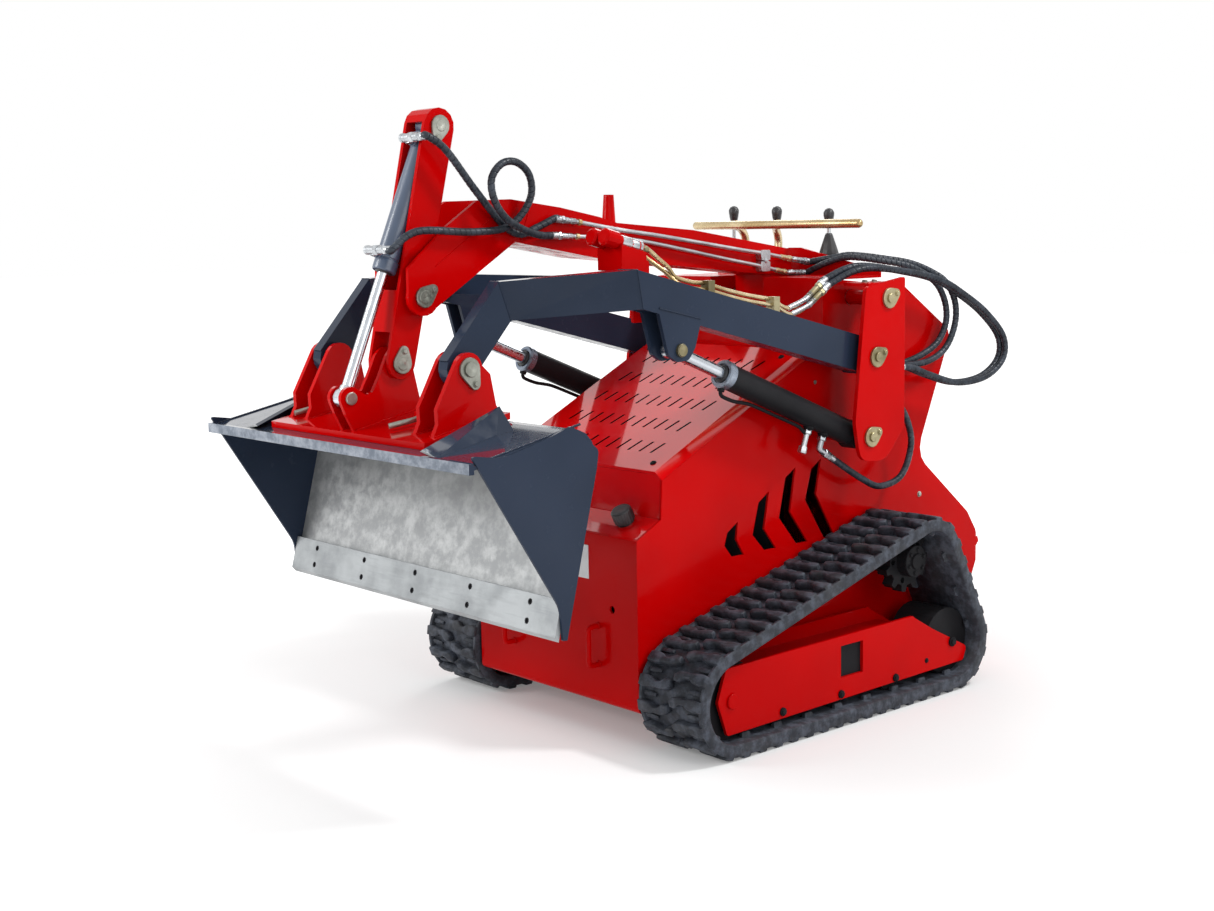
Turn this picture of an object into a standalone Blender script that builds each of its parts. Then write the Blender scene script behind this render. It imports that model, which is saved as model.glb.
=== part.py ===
"""Compact loader on rubber tracks, bucket tipped forward on self-levelling arms.

Metres, +Z up, -Y is forward and +X is the machine's left side.
The sizes below are measured from the front face of the chassis (y = 0, rearward positive)
and from the ground (z = 0). The whole machine hangs on one empty that shifts it so that
the middle of its length lies over the origin.
"""
import math

import bmesh
import bpy
from mathutils import Matrix, Vector

# Running gap between touching or resting pieces, and clearance round a pin
GAP = 0.0003
PIN_CLEARANCE = 0.0008
MID_LENGTH = 0.3495

# Pivot pins, seen from the side as (y, z)
ARM_PIVOT = (0.672, 0.843)
LINK_RISE = (0.045, 0.138)
LINK_REACH = (-1.105, 0.042)
BOOM_PIVOT = (ARM_PIVOT[0] + LINK_RISE[0], ARM_PIVOT[1] + LINK_RISE[1])
TOOL_PIN = (ARM_PIVOT[0] + LINK_REACH[0], ARM_PIVOT[1] + LINK_REACH[1])
MAST_PIN = (TOOL_PIN[0] + LINK_RISE[0], TOOL_PIN[1] + LINK_RISE[1])
MAST_TOP_PIN = (-0.316, 1.381)
EAR_PIN = (-0.554, 0.8195)
LIFT_BASE_PIN = (0.653, 0.653)
LIFT_ROD_PIN = (0.052, 0.897)
PIN_R = 0.018
MAST_PIN_R = 0.014
TOOL_LUG_PIN = 0.014

# Chassis
CHASSIS_HALF = 0.289
SHEET = 0.006
FLOOR_Z = 0.080
REAR_Y = 1.240
FRONT_TOP_Z = 0.474
SHELF_Y, SHELF_Z = 0.075, 0.513
NOSE_Y = 0.080
BONNET_LOW = (0.080, 0.619)
BONNET_HIGH = (0.5652, 0.860)
BONNET_HALF = 0.265
BONNET_DROP = 0.018
CONSOLE_Y = 0.619
CONSOLE_TOP = 1.030
BACKPLATE_Y = 0.838
BOOM_SLOT_HALF = 0.092
BOOM_SLOT_FLOOR = 0.925
SIDE_OUTLINE = (  # y, z, corner radius
    (0.000, FLOOR_Z, 0.012),
    (0.000, FRONT_TOP_Z, 0.0),
    (SHELF_Y, SHELF_Z, 0.0),
    (BONNET_LOW[0], BONNET_LOW[1] - BONNET_DROP - GAP, 0.0),
    (BONNET_HIGH[0], BONNET_HIGH[1] - BONNET_DROP - GAP, 0.0),
    (CONSOLE_Y, BONNET_HIGH[1] - BONNET_DROP - GAP, 0.0),
    (CONSOLE_Y, CONSOLE_TOP, 0.0),
    (0.926, 1.000, 0.020),
    (1.120, 0.874, 0.030),
    (0.982, 0.565, 0.060),
    (1.200, 0.388, 0.040),
    (REAR_Y, 0.330, 0.030),
    (REAR_Y, 0.250, 0.0),
    (REAR_Y - 0.070, 0.100, 0.040),
    (1.100, FLOOR_Z, 0.0),
)
COVER_TOP = ((BACKPLATE_Y + SHEET + 0.0012, 1.003, 0.0), (0.922, 0.994, 0.020))

# Chevron vents in the side plates: bend y, bend z, foot y, tip y, tip z
VENT_FOOT_Z, VENT_WIDTH = 0.396, 0.040
VENTS = (
    (0.275, 0.4255, 0.299, 0.3205, 0.477),
    (0.369, 0.438, 0.409, 0.426, 0.535),
    (0.460, 0.467, 0.521, 0.519, 0.583),
    (0.553, 0.499, 0.621, 0.611, 0.594),
)

# Bonnet slots
SLOT_ROWS, SLOTS_PER_ROW = 5, 11
SLOT_PITCH_X = 0.0385
SLOT_FIRST_S, SLOT_PITCH_S = 0.0875, 0.0935
SLOT_LEAN, SLOT_REACH, SLOT_HALF_WIDTH = 0.0046, 0.0213, 0.0035

# Filler cap, grab bar (each leg as its x on the bar and at its foot) and levers
CAP_X, CAP_Y = 0.200, 0.050
BAR_X, BAR_Y, BAR_Z, BAR_R = (-0.310, 0.278), 0.775, 1.1585, 0.0095
BAR_LEGS = ((-0.155, -0.194), (-0.001, -0.074))
LEG_Y = 0.8545
LEVER_Y = 0.873
LEVERS = (  # x, top z, rubber boot
    (-0.2545, 1.210, False),
    (-0.0957, 1.207, False),
    (0.0858, 1.198, True),
)

# Posts outside the chassis that carry the arms and the lift cylinders
POST_X = 0.400
POST_SHEET = 0.010
POST_FLANGE_IN = 0.325
POST_OUTLINE = (
    (0.778, 1.030, 0.006),
    (0.634, 1.010, 0.012),
    (0.596, 0.690, 0.040),
    (0.615, 0.598, 0.034),
    (0.705, 0.590, 0.050),
    (0.778, 0.665, 0.030),
)

# Tracks: y, z and radius to the lug tips of the front idler, the rear idler and the sprocket
TRACK_IN, TRACK_OUT = 0.300, 0.500
TRACK_WHEELS = ((0.108, 0.128, 0.128), (0.890, 0.120, 0.120), (0.785, 0.335, 0.117))
LUG_HEIGHT = 0.018
BELT = 0.018
BELT_STEP = 15.0
LUG_PITCH = 0.070
FRAME_IN, FRAME_OUT = 0.325, 0.474
FRAME_SHEET = 0.008
FRAME_OUTLINE = (
    (0.090, 0.204, 0.008),
    (0.063, 0.132, 0.010),
    (0.092, 0.052, 0.006),
    (0.938, 0.064, 0.010),
    (0.952, 0.098, 0.012),
    (0.815, 0.165, 0.0),
    (0.747, 0.203, 0.0),
    (0.736, 0.211, 0.006),
)
ROLLER_Y = (0.270, 0.470, 0.670)
ROLLER_R = 0.034

# Loader arms
ARM_IN, ARM_OUT = 0.322, 0.383
LEG_IN, LEG_OUT = 0.222, 0.252
LUG_SHEET = 0.010
CROSS_Y = (-0.080, -0.028)
CROSS_Z = (1.010, 1.058)

# Hose couplers on the left arm
COUPLER_X = (0.3015, 0.262)
COUPLER_END = (0.0125, 1.117)
COUPLER_HEADING = (0.0, -0.9706, 0.2407)

# Boom, mast and cylinders
BOOM_HALF, BOOM_SHEET = 0.063, 0.010
BOOM_CREST = ((-0.0095, 1.2071), (0.1069, 1.1847), (0.1611, 1.1704), (0.4067, 1.150),
              (0.7537, 1.0963))
BOOM_UNDER = ((0.680, 1.034), (0.100, 1.091), (-0.140, 1.133))
BOOM_NOSE = ((-0.425, 1.085), (-0.320, 1.172), (-0.240, 1.224), (-0.150, 1.226))
MAST_HALF, MAST_SHEET = 0.038, 0.010
MAST_BACK = 0.030
MAST_FOOT_CUT = (  # height above the tool pin along the mast, distance behind its axis
    (-0.10, 0.20),
    (-0.10, -0.20),
    (0.060, -0.20),
    (0.060, -0.026),
    (0.140, -0.026),
    (0.150, 0.028),
    (0.060, 0.028),
    (0.060, 0.20),
)
LIFT_X = 0.3525
LIFT_BARREL = 0.483
TILT_BARREL = 0.330
TILT_PORTS = (0.045, 0.298)
PORT_REACH, PORT_END_X = 0.044, 0.048
LIFT_PORTS = ((0.160, 0.092), (0.105, 0.066))

# Steel pipes and hoses; the routes are lists of (y, z) or (x, y, z)
PIPE_R, FERRULE_R, HOSE_R = 0.005, 0.0075, 0.0072
HOSE_GAP = 0.0006
ARM_PIPES = ((0.3015, 0.0), (0.3105, 0.014))
ARM_PIPE_ROUTE = ((0.0128, 1.1168), (0.037, 1.111), (0.064, 1.093), (0.096, 1.071), (0.117, 1.050),
                  (0.163, 1.038), (0.209, 1.032), (0.273, 1.016), (0.338, 1.002), (0.421, 0.987),
                  (0.482, 0.965), (0.545, 0.985), (0.592, 1.015))
ARM_CLAMPS = ((0.209, 1.032), (0.421, 0.987))
BOOM_PIPE_X = 0.0765
BOOM_PIPE_UPPER = ((-0.0116, 1.179), (0.030, 1.174), (0.159, 1.154), (0.285, 1.138),
                   (0.417, 1.119), (0.555, 1.099), (0.645, 1.087), (0.737, 1.072), (0.780, 1.066))
BOOM_PIPE_LOWER = ((-0.021, 1.144), (0.022, 1.142), (0.097, 1.138), (0.205, 1.130), (0.350, 1.106),
                   (0.485, 1.081), (0.626, 1.057), (0.718, 1.039), (0.765, 1.036))
BOOM_CLAMP_Y, BOOM_CLAMP_Z = 0.640, (1.043, 1.097)
BULKHEAD_X = (0.312, 0.329, 0.346, 0.363)
BULKHEAD_Y, BULKHEAD_Z = 0.806, 0.806
ARM_HOSE_ROUTE = (  # inboard of its port, y, z, share of the lower pipe's drop
    (0.018, 0.699, 1.057, 0.5),
    (0.004, 0.859, 1.038, 0.0),
    (0.0, 0.981, 1.013, 0.0),
    (0.0, 1.073, 0.975, 0.0),
    (0.0, 1.168, 0.924, 0.0),
    (0.0, 1.245, 0.858, 0.0),
    (0.0, 1.246, 0.799, 0.0),
    (0.0, 1.172, 0.757, 0.0),
    (0.0, 1.053, 0.750, 0.0),
    (0.0, 0.939, 0.778, 0.0),
    (0.0, 0.872, 0.800, 0.0),
)
BOOM_HOSE_ROUTES = (
    ((0.150, 0.822, 1.074), (0.185, 0.848, 1.079), (0.235, 0.920, 1.068), (0.272, 0.976, 1.055),
     (0.300, 1.026, 1.031), (0.322, 1.055, 1.004), (0.329, 1.083, 0.953), (0.329, 1.083, 0.895),
     (0.329, 1.045, 0.838), (0.329, 0.975, 0.809), (0.329, 0.890, 0.804)),
    ((0.140, 0.800, 1.060), (0.190, 0.828, 1.074), (0.245, 0.902, 1.062), (0.280, 0.958, 1.048),
     (0.303, 1.004, 1.022), (0.314, 1.036, 0.992), (0.314, 1.064, 0.945), (0.314, 1.064, 0.897),
     (0.314, 1.030, 0.852), (0.312, 0.968, 0.824), (0.312, 0.890, 0.808)),
)
TILT_HOSE_UPPER = ((0.078, -0.330, 1.328), (0.080, -0.258, 1.245), (0.0725, -0.180, 1.172),
                   (0.0725, -0.132, 1.150), (0.074, -0.085, 1.164))
TILT_HOSE_LOWER = ((0.078, -0.435, 1.152), (0.082, -0.390, 1.162), (0.086, -0.280, 1.157),
                   (0.088, -0.182, 1.160), (0.088, -0.141, 1.191), (0.092, -0.109, 1.256),
                   (0.102, -0.184, 1.307), (0.107, -0.237, 1.262), (0.108, -0.199, 1.185),
                   (0.104, -0.149, 1.160), (0.088, -0.090, 1.147))
LIFT_HOSE_ROUTE = ((0.350, 0.690, 0.542), (0.346, 0.766, 0.514), (0.345, 0.850, 0.532),
                   (0.345, 0.887, 0.606), (0.343, 0.870, 0.674), (0.334, 0.836, 0.722))
LIFT_HOSE_END = (0.812, 0.742)

# Bucket and quick attach plate, in the tipped pose
BUCKET_HALF = 0.500
BUCKET_SHEET = 0.008
BACK_SLOPE = 0.200
BUCKET_LIP = (-0.598, 0.7275)
BUCKET_HEEL = (-0.2724, 0.7926, 0.060)
BUCKET_FOOT = (-0.374, 0.410)
BUCKET_SIDE = (
    (-0.602, 0.7475, 0.004),
    (-0.5285, 0.7365, 0.120),
    (-0.430, 0.7600, 0.050),
    (-0.356, 0.7815, 0.012),
    (-0.2885, 0.728, 0.014),
    (-0.2941, 0.692, 0.0),
    (-0.3795, 0.358, 0.0),
    (-0.391, 0.359, 0.003),
    (-0.396, 0.425, 0.060),
)
EDGE_SHEET = 0.012
EDGE_HOLE_PITCH = 0.200
BED = 0.014
BRACKET_X = (-0.268, -0.206, 0.206, 0.268)
TOOL_LUG_HALF, TOOL_LUG_SHEET = 0.026, 0.010
EAR_R = 0.025
LATCH_BLOCKS = ((0.140, -0.452), (-0.237, -0.452))
HANDLE_R = 0.006
LOCK_HANDLES = (  # side, then points as x, y, height above the plate
    ("left", ((0.140, -0.4676, 0.012), (0.140, -0.482, 0.012), (0.120, -0.526, 0.011))),
    ("right", ((-0.237, -0.4676, 0.012), (-0.237, -0.482, 0.012), (-0.249, -0.526, 0.011))),
)

# Material table: colour, roughness, metallic
FINISHES = {
    "red_paint": ((0.62, 0.012, 0.014), 0.28, 0.0),
    "slate_paint": ((0.035, 0.050, 0.080), 0.34, 0.0),
    "bare_steel": ((0.42, 0.43, 0.45), 0.42, 0.9),
    "chrome": ((0.78, 0.79, 0.80), 0.12, 1.0),
    "zinc": ((0.62, 0.52, 0.30), 0.35, 0.9),
    "black_paint": ((0.014, 0.014, 0.016), 0.35, 0.0),
    "rubber": ((0.022, 0.022, 0.025), 0.75, 0.0),
    "black_plastic": ((0.018, 0.018, 0.020), 0.5, 0.0),
    "label_white": ((0.80, 0.80, 0.80), 0.4, 0.0),
}


def clear_scene():
    for item in list(bpy.data.objects):
        bpy.data.objects.remove(item)


def material(name):
    found = bpy.data.materials.get(name)
    if found:
        return found
    colour, roughness, metallic = FINISHES[name]
    made = bpy.data.materials.new(name)
    made.use_nodes = True
    shader = made.node_tree.nodes["Principled BSDF"]
    shader.inputs["Base Color"].default_value = (*colour, 1.0)
    shader.inputs["Roughness"].default_value = roughness
    shader.inputs["Metallic"].default_value = metallic
    made.diffuse_color = (*colour, 1.0)
    return made


# Outlines in the side view

def arc(centre, radius, start, end, steps):
    """Points on an arc about (y, z), angles in degrees from +y towards +z."""
    points = []
    for i in range(steps + 1):
        a = math.radians(start + (end - start) * i / steps)
        points.append((centre[0] + radius * math.cos(a), centre[1] + radius * math.sin(a)))
    return points


def rounded(corners, steps=3):
    """Outline through corners (y, z, radius), each rounded by its own radius."""
    outline = []
    count = len(corners)
    for i, (y, z, radius) in enumerate(corners):
        here = Vector((y, z))
        if radius <= 0.0:
            outline.append((y, z))
            continue
        before = Vector(corners[i - 1][:2]) - here
        after = Vector(corners[(i + 1) % count][:2]) - here
        half = before.angle(after) / 2.0
        run = min(radius / math.tan(half), 0.45 * before.length, 0.45 * after.length)
        radius = run * math.tan(half)
        bisector = (before.normalized() + after.normalized()).normalized()
        centre = here + bisector * (radius / math.sin(half))
        first = here + before.normalized() * run - centre
        last = here + after.normalized() * run - centre
        turn = math.atan2(first.x * last.y - first.y * last.x, first.dot(last))
        for k in range(steps + 1):
            a = turn * k / steps
            spoke = Vector((first.x * math.cos(a) - first.y * math.sin(a),
                            first.x * math.sin(a) + first.y * math.cos(a)))
            outline.append((centre.x + spoke.x, centre.y + spoke.y))
    return outline


def capsule(start, start_r, end, end_r, steps=4):
    """Outline round two circles, the form of a link between two pins."""
    dy, dz = end[0] - start[0], end[1] - start[1]
    heading = math.degrees(math.atan2(dz, dy))
    lean = math.degrees(math.asin((start_r - end_r) / math.hypot(dy, dz)))
    low = arc(start, start_r, heading + 90.0 - lean, heading + 270.0 + lean, steps)
    high = arc(end, end_r, heading - 90.0 + lean, heading + 90.0 - lean, steps)
    return low + high


def belt_path(wheels, inset, step=BELT_STEP):
    """Closed outline round the wheels, counter-clockwise, lying inset inside their radii."""
    count = len(wheels)
    normals = []
    for i in range(count):
        y0, z0, r0 = wheels[i]
        y1, z1, r1 = wheels[(i + 1) % count]
        gap = math.hypot(y1 - y0, z1 - z0)
        heading = math.atan2(z1 - z0, y1 - y0)
        normals.append(heading - math.acos((r0 - r1) / gap))
    outline = []
    for i in range(count):
        start = normals[i - 1]
        sweep = (normals[i] - start) % (2.0 * math.pi)
        steps = max(2, math.ceil(math.degrees(sweep) / step))
        y, z, radius = wheels[i]
        outline += arc((y, z), radius - inset, math.degrees(start),
                       math.degrees(start + sweep), steps)
    return outline


def folded_sheet(corners, thickness, steps=3):
    """Closed outline of a sheet bent along corners (y, z, radius), thickened to its right."""
    points = [Vector(corner[:2]) for corner in corners]
    inner = []
    for i, here in enumerate(points):
        before = (here - points[i - 1]).normalized() if i else None
        after = (points[i + 1] - here).normalized() if i + 1 < len(points) else None
        first, last = before or after, after or before
        n0 = Vector((first.y, -first.x))
        middle = (n0 + Vector((last.y, -last.x))).normalized()
        place = here + middle * (thickness / middle.dot(n0))
        turn = first.x * last.y - first.y * last.x
        radius = corners[i][2]
        if radius > 0.0:
            radius = max(0.0005, radius + math.copysign(thickness, turn))
        inner.append((place.x, place.y, radius))
    return rounded(corners, steps) + rounded(inner, steps)[::-1]


# Temporary solids, in machine coordinates

def solid(bm):
    bmesh.ops.recalc_face_normals(bm, faces=bm.faces)
    mesh = bpy.data.meshes.new("solid")
    bm.to_mesh(mesh)
    bm.free()
    item = bpy.data.objects.new("solid", mesh)
    bpy.context.collection.objects.link(item)
    return item


def loft(rings, closed=False):
    """Solid through rings of equally many points; a closed loft joins its last to its first."""
    bm = bmesh.new()
    loops = [[bm.verts.new(p) for p in ring] for ring in rings]
    pairs = list(zip(loops, loops[1:]))
    if closed:
        pairs.append((loops[-1], loops[0]))
    for low, high in pairs:
        for i in range(len(low)):
            j = (i + 1) % len(low)
            bm.faces.new((low[i], low[j], high[j], high[i]))
    if not closed:
        bm.faces.new(loops[0])
        bm.faces.new(loops[-1])
    return solid(bm)


def prism(outline, x0, x1):
    """Side-view outline (y, z) pulled across the machine from x0 to x1."""
    return loft([[(x0, y, z) for y, z in outline], [(x1, y, z) for y, z in outline]])


def front_prism(outline, y0, y1):
    """Front-view outline (x, z) pulled along the machine from y0 to y1."""
    return loft([[(x, y0, z) for x, z in outline], [(x, y1, z) for x, z in outline]])


def block(x, y, z):
    return prism([(y[0], z[0]), (y[1], z[0]), (y[1], z[1]), (y[0], z[1])], x[0], x[1])


def rod(start, end, radius, sides=14, end_radius=None):
    start, end = Vector(start), Vector(end)
    axis = end - start
    turn = axis.to_track_quat("Z", "Y").to_matrix().to_4x4()
    rings = []
    for place, r in ((start, radius), (end, radius if end_radius is None else end_radius)):
        ring = []
        for i in range(sides):
            a = 2.0 * math.pi * i / sides
            ring.append(place + turn @ Vector((r * math.cos(a), r * math.sin(a), 0.0)))
        rings.append(ring)
    return loft(rings)


def pin(place, x0, x1, radius, sides=14):
    """Round bar across the machine at (y, z)."""
    ring = [(place[0] + radius * math.cos(2.0 * math.pi * i / sides),
             place[1] + radius * math.sin(2.0 * math.pi * i / sides)) for i in range(sides)]
    return prism(ring, x0, x1)


def lathe_ends(profile, start, heading, sides=20):
    """Solid of revolution whose profile begins and ends on the axis."""
    turn = Vector(heading).to_track_quat("Z", "Y").to_matrix()
    start = Vector(start)
    bm = bmesh.new()
    first = bm.verts.new(start + turn @ Vector((0.0, 0.0, profile[0][0])))
    last = bm.verts.new(start + turn @ Vector((0.0, 0.0, profile[-1][0])))
    inner = profile[1:-1]
    loops = []
    for i in range(sides):
        a = 2.0 * math.pi * i / sides
        loops.append([bm.verts.new(start + turn @ Vector((r * math.cos(a), r * math.sin(a), s)))
                      for s, r in inner])
    for i in range(sides):
        low, high = loops[i], loops[(i + 1) % sides]
        bm.faces.new((first, low[0], high[0]))
        bm.faces.new((last, high[-1], low[-1]))
        for k in range(len(inner) - 1):
            bm.faces.new((low[k], low[k + 1], high[k + 1], high[k]))
    return solid(bm)


def pipe(points, radius, sides=8):
    """Bent round bar along points, its rings mitred at the bends."""
    points = [Vector(p) for p in points]
    rings = []
    frame = None
    for i, place in enumerate(points):
        before = (place - points[i - 1]).normalized() if i else None
        after = (points[i + 1] - place).normalized() if i + 1 < len(points) else None
        heading = ((before or after) + (after or before)).normalized()
        if frame is None:
            side = heading.orthogonal().normalized()
        else:
            side = (frame - heading * frame.dot(heading)).normalized()
        frame = side
        other = heading.cross(side)
        half = (before.angle(after) / 2.0) if before and after else 0.0
        widen = 1.0 / max(0.5, math.cos(half))
        bend = (after - before) if before and after else Vector((0.0, 0.0, 0.0))
        bend = bend.normalized() if bend.length > 1e-6 else bend
        ring = []
        for k in range(sides):
            a = 2.0 * math.pi * k / sides
            spoke = radius * (math.cos(a) * side + math.sin(a) * other)
            spoke += bend * (spoke.dot(bend) * (widen - 1.0))
            ring.append(place + spoke)
        rings.append(ring)
    return loft(rings)


def smooth_route(points, spacing):
    """Points about spacing apart on a smooth curve through the route's own points."""
    points = [Vector(p) for p in points]
    padded = [points[0] * 2 - points[1]] + points + [points[-1] * 2 - points[-2]]
    route = [points[0]]
    for i in range(1, len(padded) - 2):
        a, b, c, d = padded[i - 1:i + 3]
        steps = max(1, round((c - b).length / spacing))
        for k in range(1, steps + 1):
            t = k / steps
            route.append(0.5 * ((2 * b) + (c - a) * t + (2 * a - 5 * b + 4 * c - d) * t * t
                                + (3 * b - a - 3 * c + d) * t * t * t))
    return route


def combine(base, others, operation):
    for other in others:
        tool = base.modifiers.new("combine", "BOOLEAN")
        tool.operation = operation
        tool.solver = "EXACT"
        tool.object = other
    bpy.context.view_layer.update()
    graph = bpy.context.evaluated_depsgraph_get()
    mesh = bpy.data.meshes.new_from_object(base.evaluated_get(graph))
    base.modifiers.clear()
    base.data = mesh
    for other in others:
        bpy.data.objects.remove(other)
    return base


def fuse(base, *others):
    return combine(base, others, "UNION")


def cut(base, *others):
    return combine(base, others, "DIFFERENCE")


def mirrored(item):
    """Copy of a solid on the other side of the machine."""
    mesh = item.data.copy()
    mesh.transform(Matrix.Diagonal((-1.0, 1.0, 1.0, 1.0)))
    mesh.flip_normals()
    copy = bpy.data.objects.new("solid", mesh)
    bpy.context.collection.objects.link(copy)
    return copy


# Bodies: name, parent, and the (y, z) of the joint axis that the body turns on

BODY_TABLE = (
    ("chassis", None, (0.0, 0.0)),
    ("arms", "chassis", ARM_PIVOT),
    ("boom", "chassis", BOOM_PIVOT),
    ("mast", "boom", MAST_PIN),
    ("tool", "mast", TOOL_PIN),
    ("tilt_barrel", "mast", MAST_TOP_PIN),
    ("tilt_rod", "tilt_barrel", MAST_TOP_PIN),
    ("lift_barrel_left", "chassis", LIFT_BASE_PIN),
    ("lift_rod_left", "lift_barrel_left", LIFT_BASE_PIN),
    ("lift_barrel_right", "chassis", LIFT_BASE_PIN),
    ("lift_rod_right", "lift_barrel_right", LIFT_BASE_PIN),
)
PIVOT = {name: place for name, _, place in BODY_TABLE}
BODY = {}


def make_bodies():
    for name, parent, place in BODY_TABLE:
        empty = bpy.data.objects.new("axis_" + name, None)
        bpy.context.collection.objects.link(empty)
        above = PIVOT[parent] if parent else (MID_LENGTH, 0.0)
        empty.location = (0.0, place[0] - above[0], place[1] - above[1])
        empty.parent = BODY[parent] if parent else None
        BODY[name] = empty


def finish(item, name, body, finish_name):
    """Name a solid and hang it on its body, with its origin on the body's joint axis."""
    y, z = PIVOT[body]
    item.data.transform(Matrix.Translation((0.0, -y, -z)))
    item.name = name
    item.data.name = name
    item.data.materials.clear()
    item.data.materials.append(material(finish_name))
    item.data.shade_smooth()
    item.data.set_sharp_from_angle(angle=math.radians(32.0))
    item.parent = BODY[body]
    return item


def hose(name, body, points, radius=HOSE_R):
    """Flexible hose along a smooth route through its points, in a node of its own."""
    route = smooth_route(points, 5.0 * radius)
    y, z = PIVOT[body]
    curve = bpy.data.curves.new(name, "CURVE")
    curve.dimensions = "3D"
    curve.bevel_depth = radius
    curve.bevel_resolution = 2
    curve.use_fill_caps = True
    spline = curve.splines.new("POLY")
    spline.points.add(len(route) - 1)
    for point, place in zip(spline.points, route):
        point.co = (place.x, place.y - y, place.z - z, 1.0)
    spline.use_smooth = True
    curve.materials.append(material("rubber"))
    item = bpy.data.objects.new(name, curve)
    bpy.context.collection.objects.link(item)
    item.parent = BODY[body]
    return item


# Chassis pieces

def chassis_tub():
    """Side plates with their chevron vents, floor, front panel and lower rear panel."""
    shell = prism(rounded(SIDE_OUTLINE), -CHASSIS_HALF, CHASSIS_HALF)
    inner = CHASSIS_HALF - SHEET
    cavity = rounded((
        (SHEET, FLOOR_Z + SHEET, 0.008),
        (SHEET, 0.600, 0.0),
        (0.300, 1.200, 0.0),
        (1.300, 1.200, 0.0),
        (1.300, 0.330, 0.0),
        (REAR_Y - SHEET, 0.330, 0.0),
        (REAR_Y - SHEET, 0.252, 0.0),
        (REAR_Y - 0.074, 0.104, 0.036),
        (1.099, FLOOR_Z + SHEET, 0.0),
    ))
    cut(shell, prism(cavity, -inner, inner))
    vents = []
    for bend_y, bend_z, foot_y, tip_y, tip_z in VENTS:
        vents.append(prism([(bend_y, bend_z), (foot_y, VENT_FOOT_Z), (foot_y + VENT_WIDTH, VENT_FOOT_Z),
                            (bend_y + VENT_WIDTH, bend_z + 0.009), (tip_y, tip_z),
                            (tip_y - 0.036, tip_z - 0.022)], -1.0, 1.0))
    cut(shell, join(vents))
    cut(shell, rod((0.204, -0.01, 0.307), (0.204, 0.02, 0.307), 0.009, 12))
    cut(shell, pin(BOOM_PIVOT, -1.0, 1.0, PIN_R + PIN_CLEARANCE))
    ports = block((CHASSIS_HALF - 0.001, BULKHEAD_X[-1] + 0.014), (BULKHEAD_Y - SHEET, BULKHEAD_Y),
                  (BULKHEAD_Z - 0.024, BULKHEAD_Z + 0.024))
    fuse(shell, ports)
    return finish(shell, "chassis_tub", "chassis", "red_paint")


def bonnet_section():
    """Bonnet cross-section (x, height from its top): outer edge, then lower edge back."""
    edge, half, drop = CHASSIS_HALF, BONNET_HALF, BONNET_DROP
    foot = edge - 0.0092
    outer = [(-edge, -drop), (-half, 0.0), (half, 0.0), (edge, -drop)]
    lower = [(foot, -drop), (half - 0.003, -0.0067), (-half + 0.003, -0.0067), (-foot, -drop)]
    return outer, lower


def nose_panel():
    """Sloped shelf behind the front face and the upright face under the bonnet."""
    inner = CHASSIS_HALF - SHEET - GAP
    front = SHEET + GAP
    rise = (SHELF_Z - 0.474) / SHELF_Y
    shelf = prism([(front, 0.474 + rise * front - SHEET), (front, 0.474 + rise * front),
                   (SHELF_Y, SHELF_Z), (NOSE_Y + SHEET, SHELF_Z), (NOSE_Y + SHEET, SHELF_Z - SHEET)],
                  -inner, inner)
    crest = [(x, BONNET_LOW[1] + h - GAP) for x, h in bonnet_section()[1]]
    crest = [(inner, crest[0][1])] + crest + [(-inner, crest[0][1])]
    face = front_prism(crest + [(-inner, SHELF_Z - SHEET), (inner, SHELF_Z - SHEET)],
                       NOSE_Y, NOSE_Y + SHEET)
    return finish(fuse(shelf, face), "nose_panel", "chassis", "red_paint")


def bonnet():
    """Sloped sheet with rows of slanted slots."""
    outer, lower = bonnet_section()
    rings = [[(x, y, z + h) for x, h in outer + lower] for y, z in (BONNET_LOW, BONNET_HIGH)]
    top = loft(rings)
    low, high = Vector((0.0, *BONNET_LOW)), Vector((0.0, *BONNET_HIGH))
    along = (high - low).normalized()
    up = Vector((1.0, 0.0, 0.0)).cross(along)
    slots = []
    for row in range(SLOT_ROWS):
        for k in range(SLOTS_PER_ROW):
            x = SLOT_PITCH_X * (k - (SLOTS_PER_ROW - 1) / 2.0)
            s = SLOT_FIRST_S + SLOT_PITCH_S * row
            corners = [(x + side * SLOT_LEAN + edge * SLOT_HALF_WIDTH, s + side * SLOT_REACH)
                       for side, edge in ((-1, -1), (-1, 1), (1, 1), (1, -1))]
            slots.append(loft([[low + along * cs + up * h + Vector((cx, 0.0, 0.0))
                                for cx, cs in corners] for h in (-0.02, 0.02)]))
    cut(top, join(slots))
    return finish(top, "bonnet", "chassis", "red_paint")


def join(items):
    """One temporary object from solids that do not touch."""
    bm = bmesh.new()
    for item in items:
        bm.from_mesh(item.data)
        bpy.data.objects.remove(item)
    return solid(bm)


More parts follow.
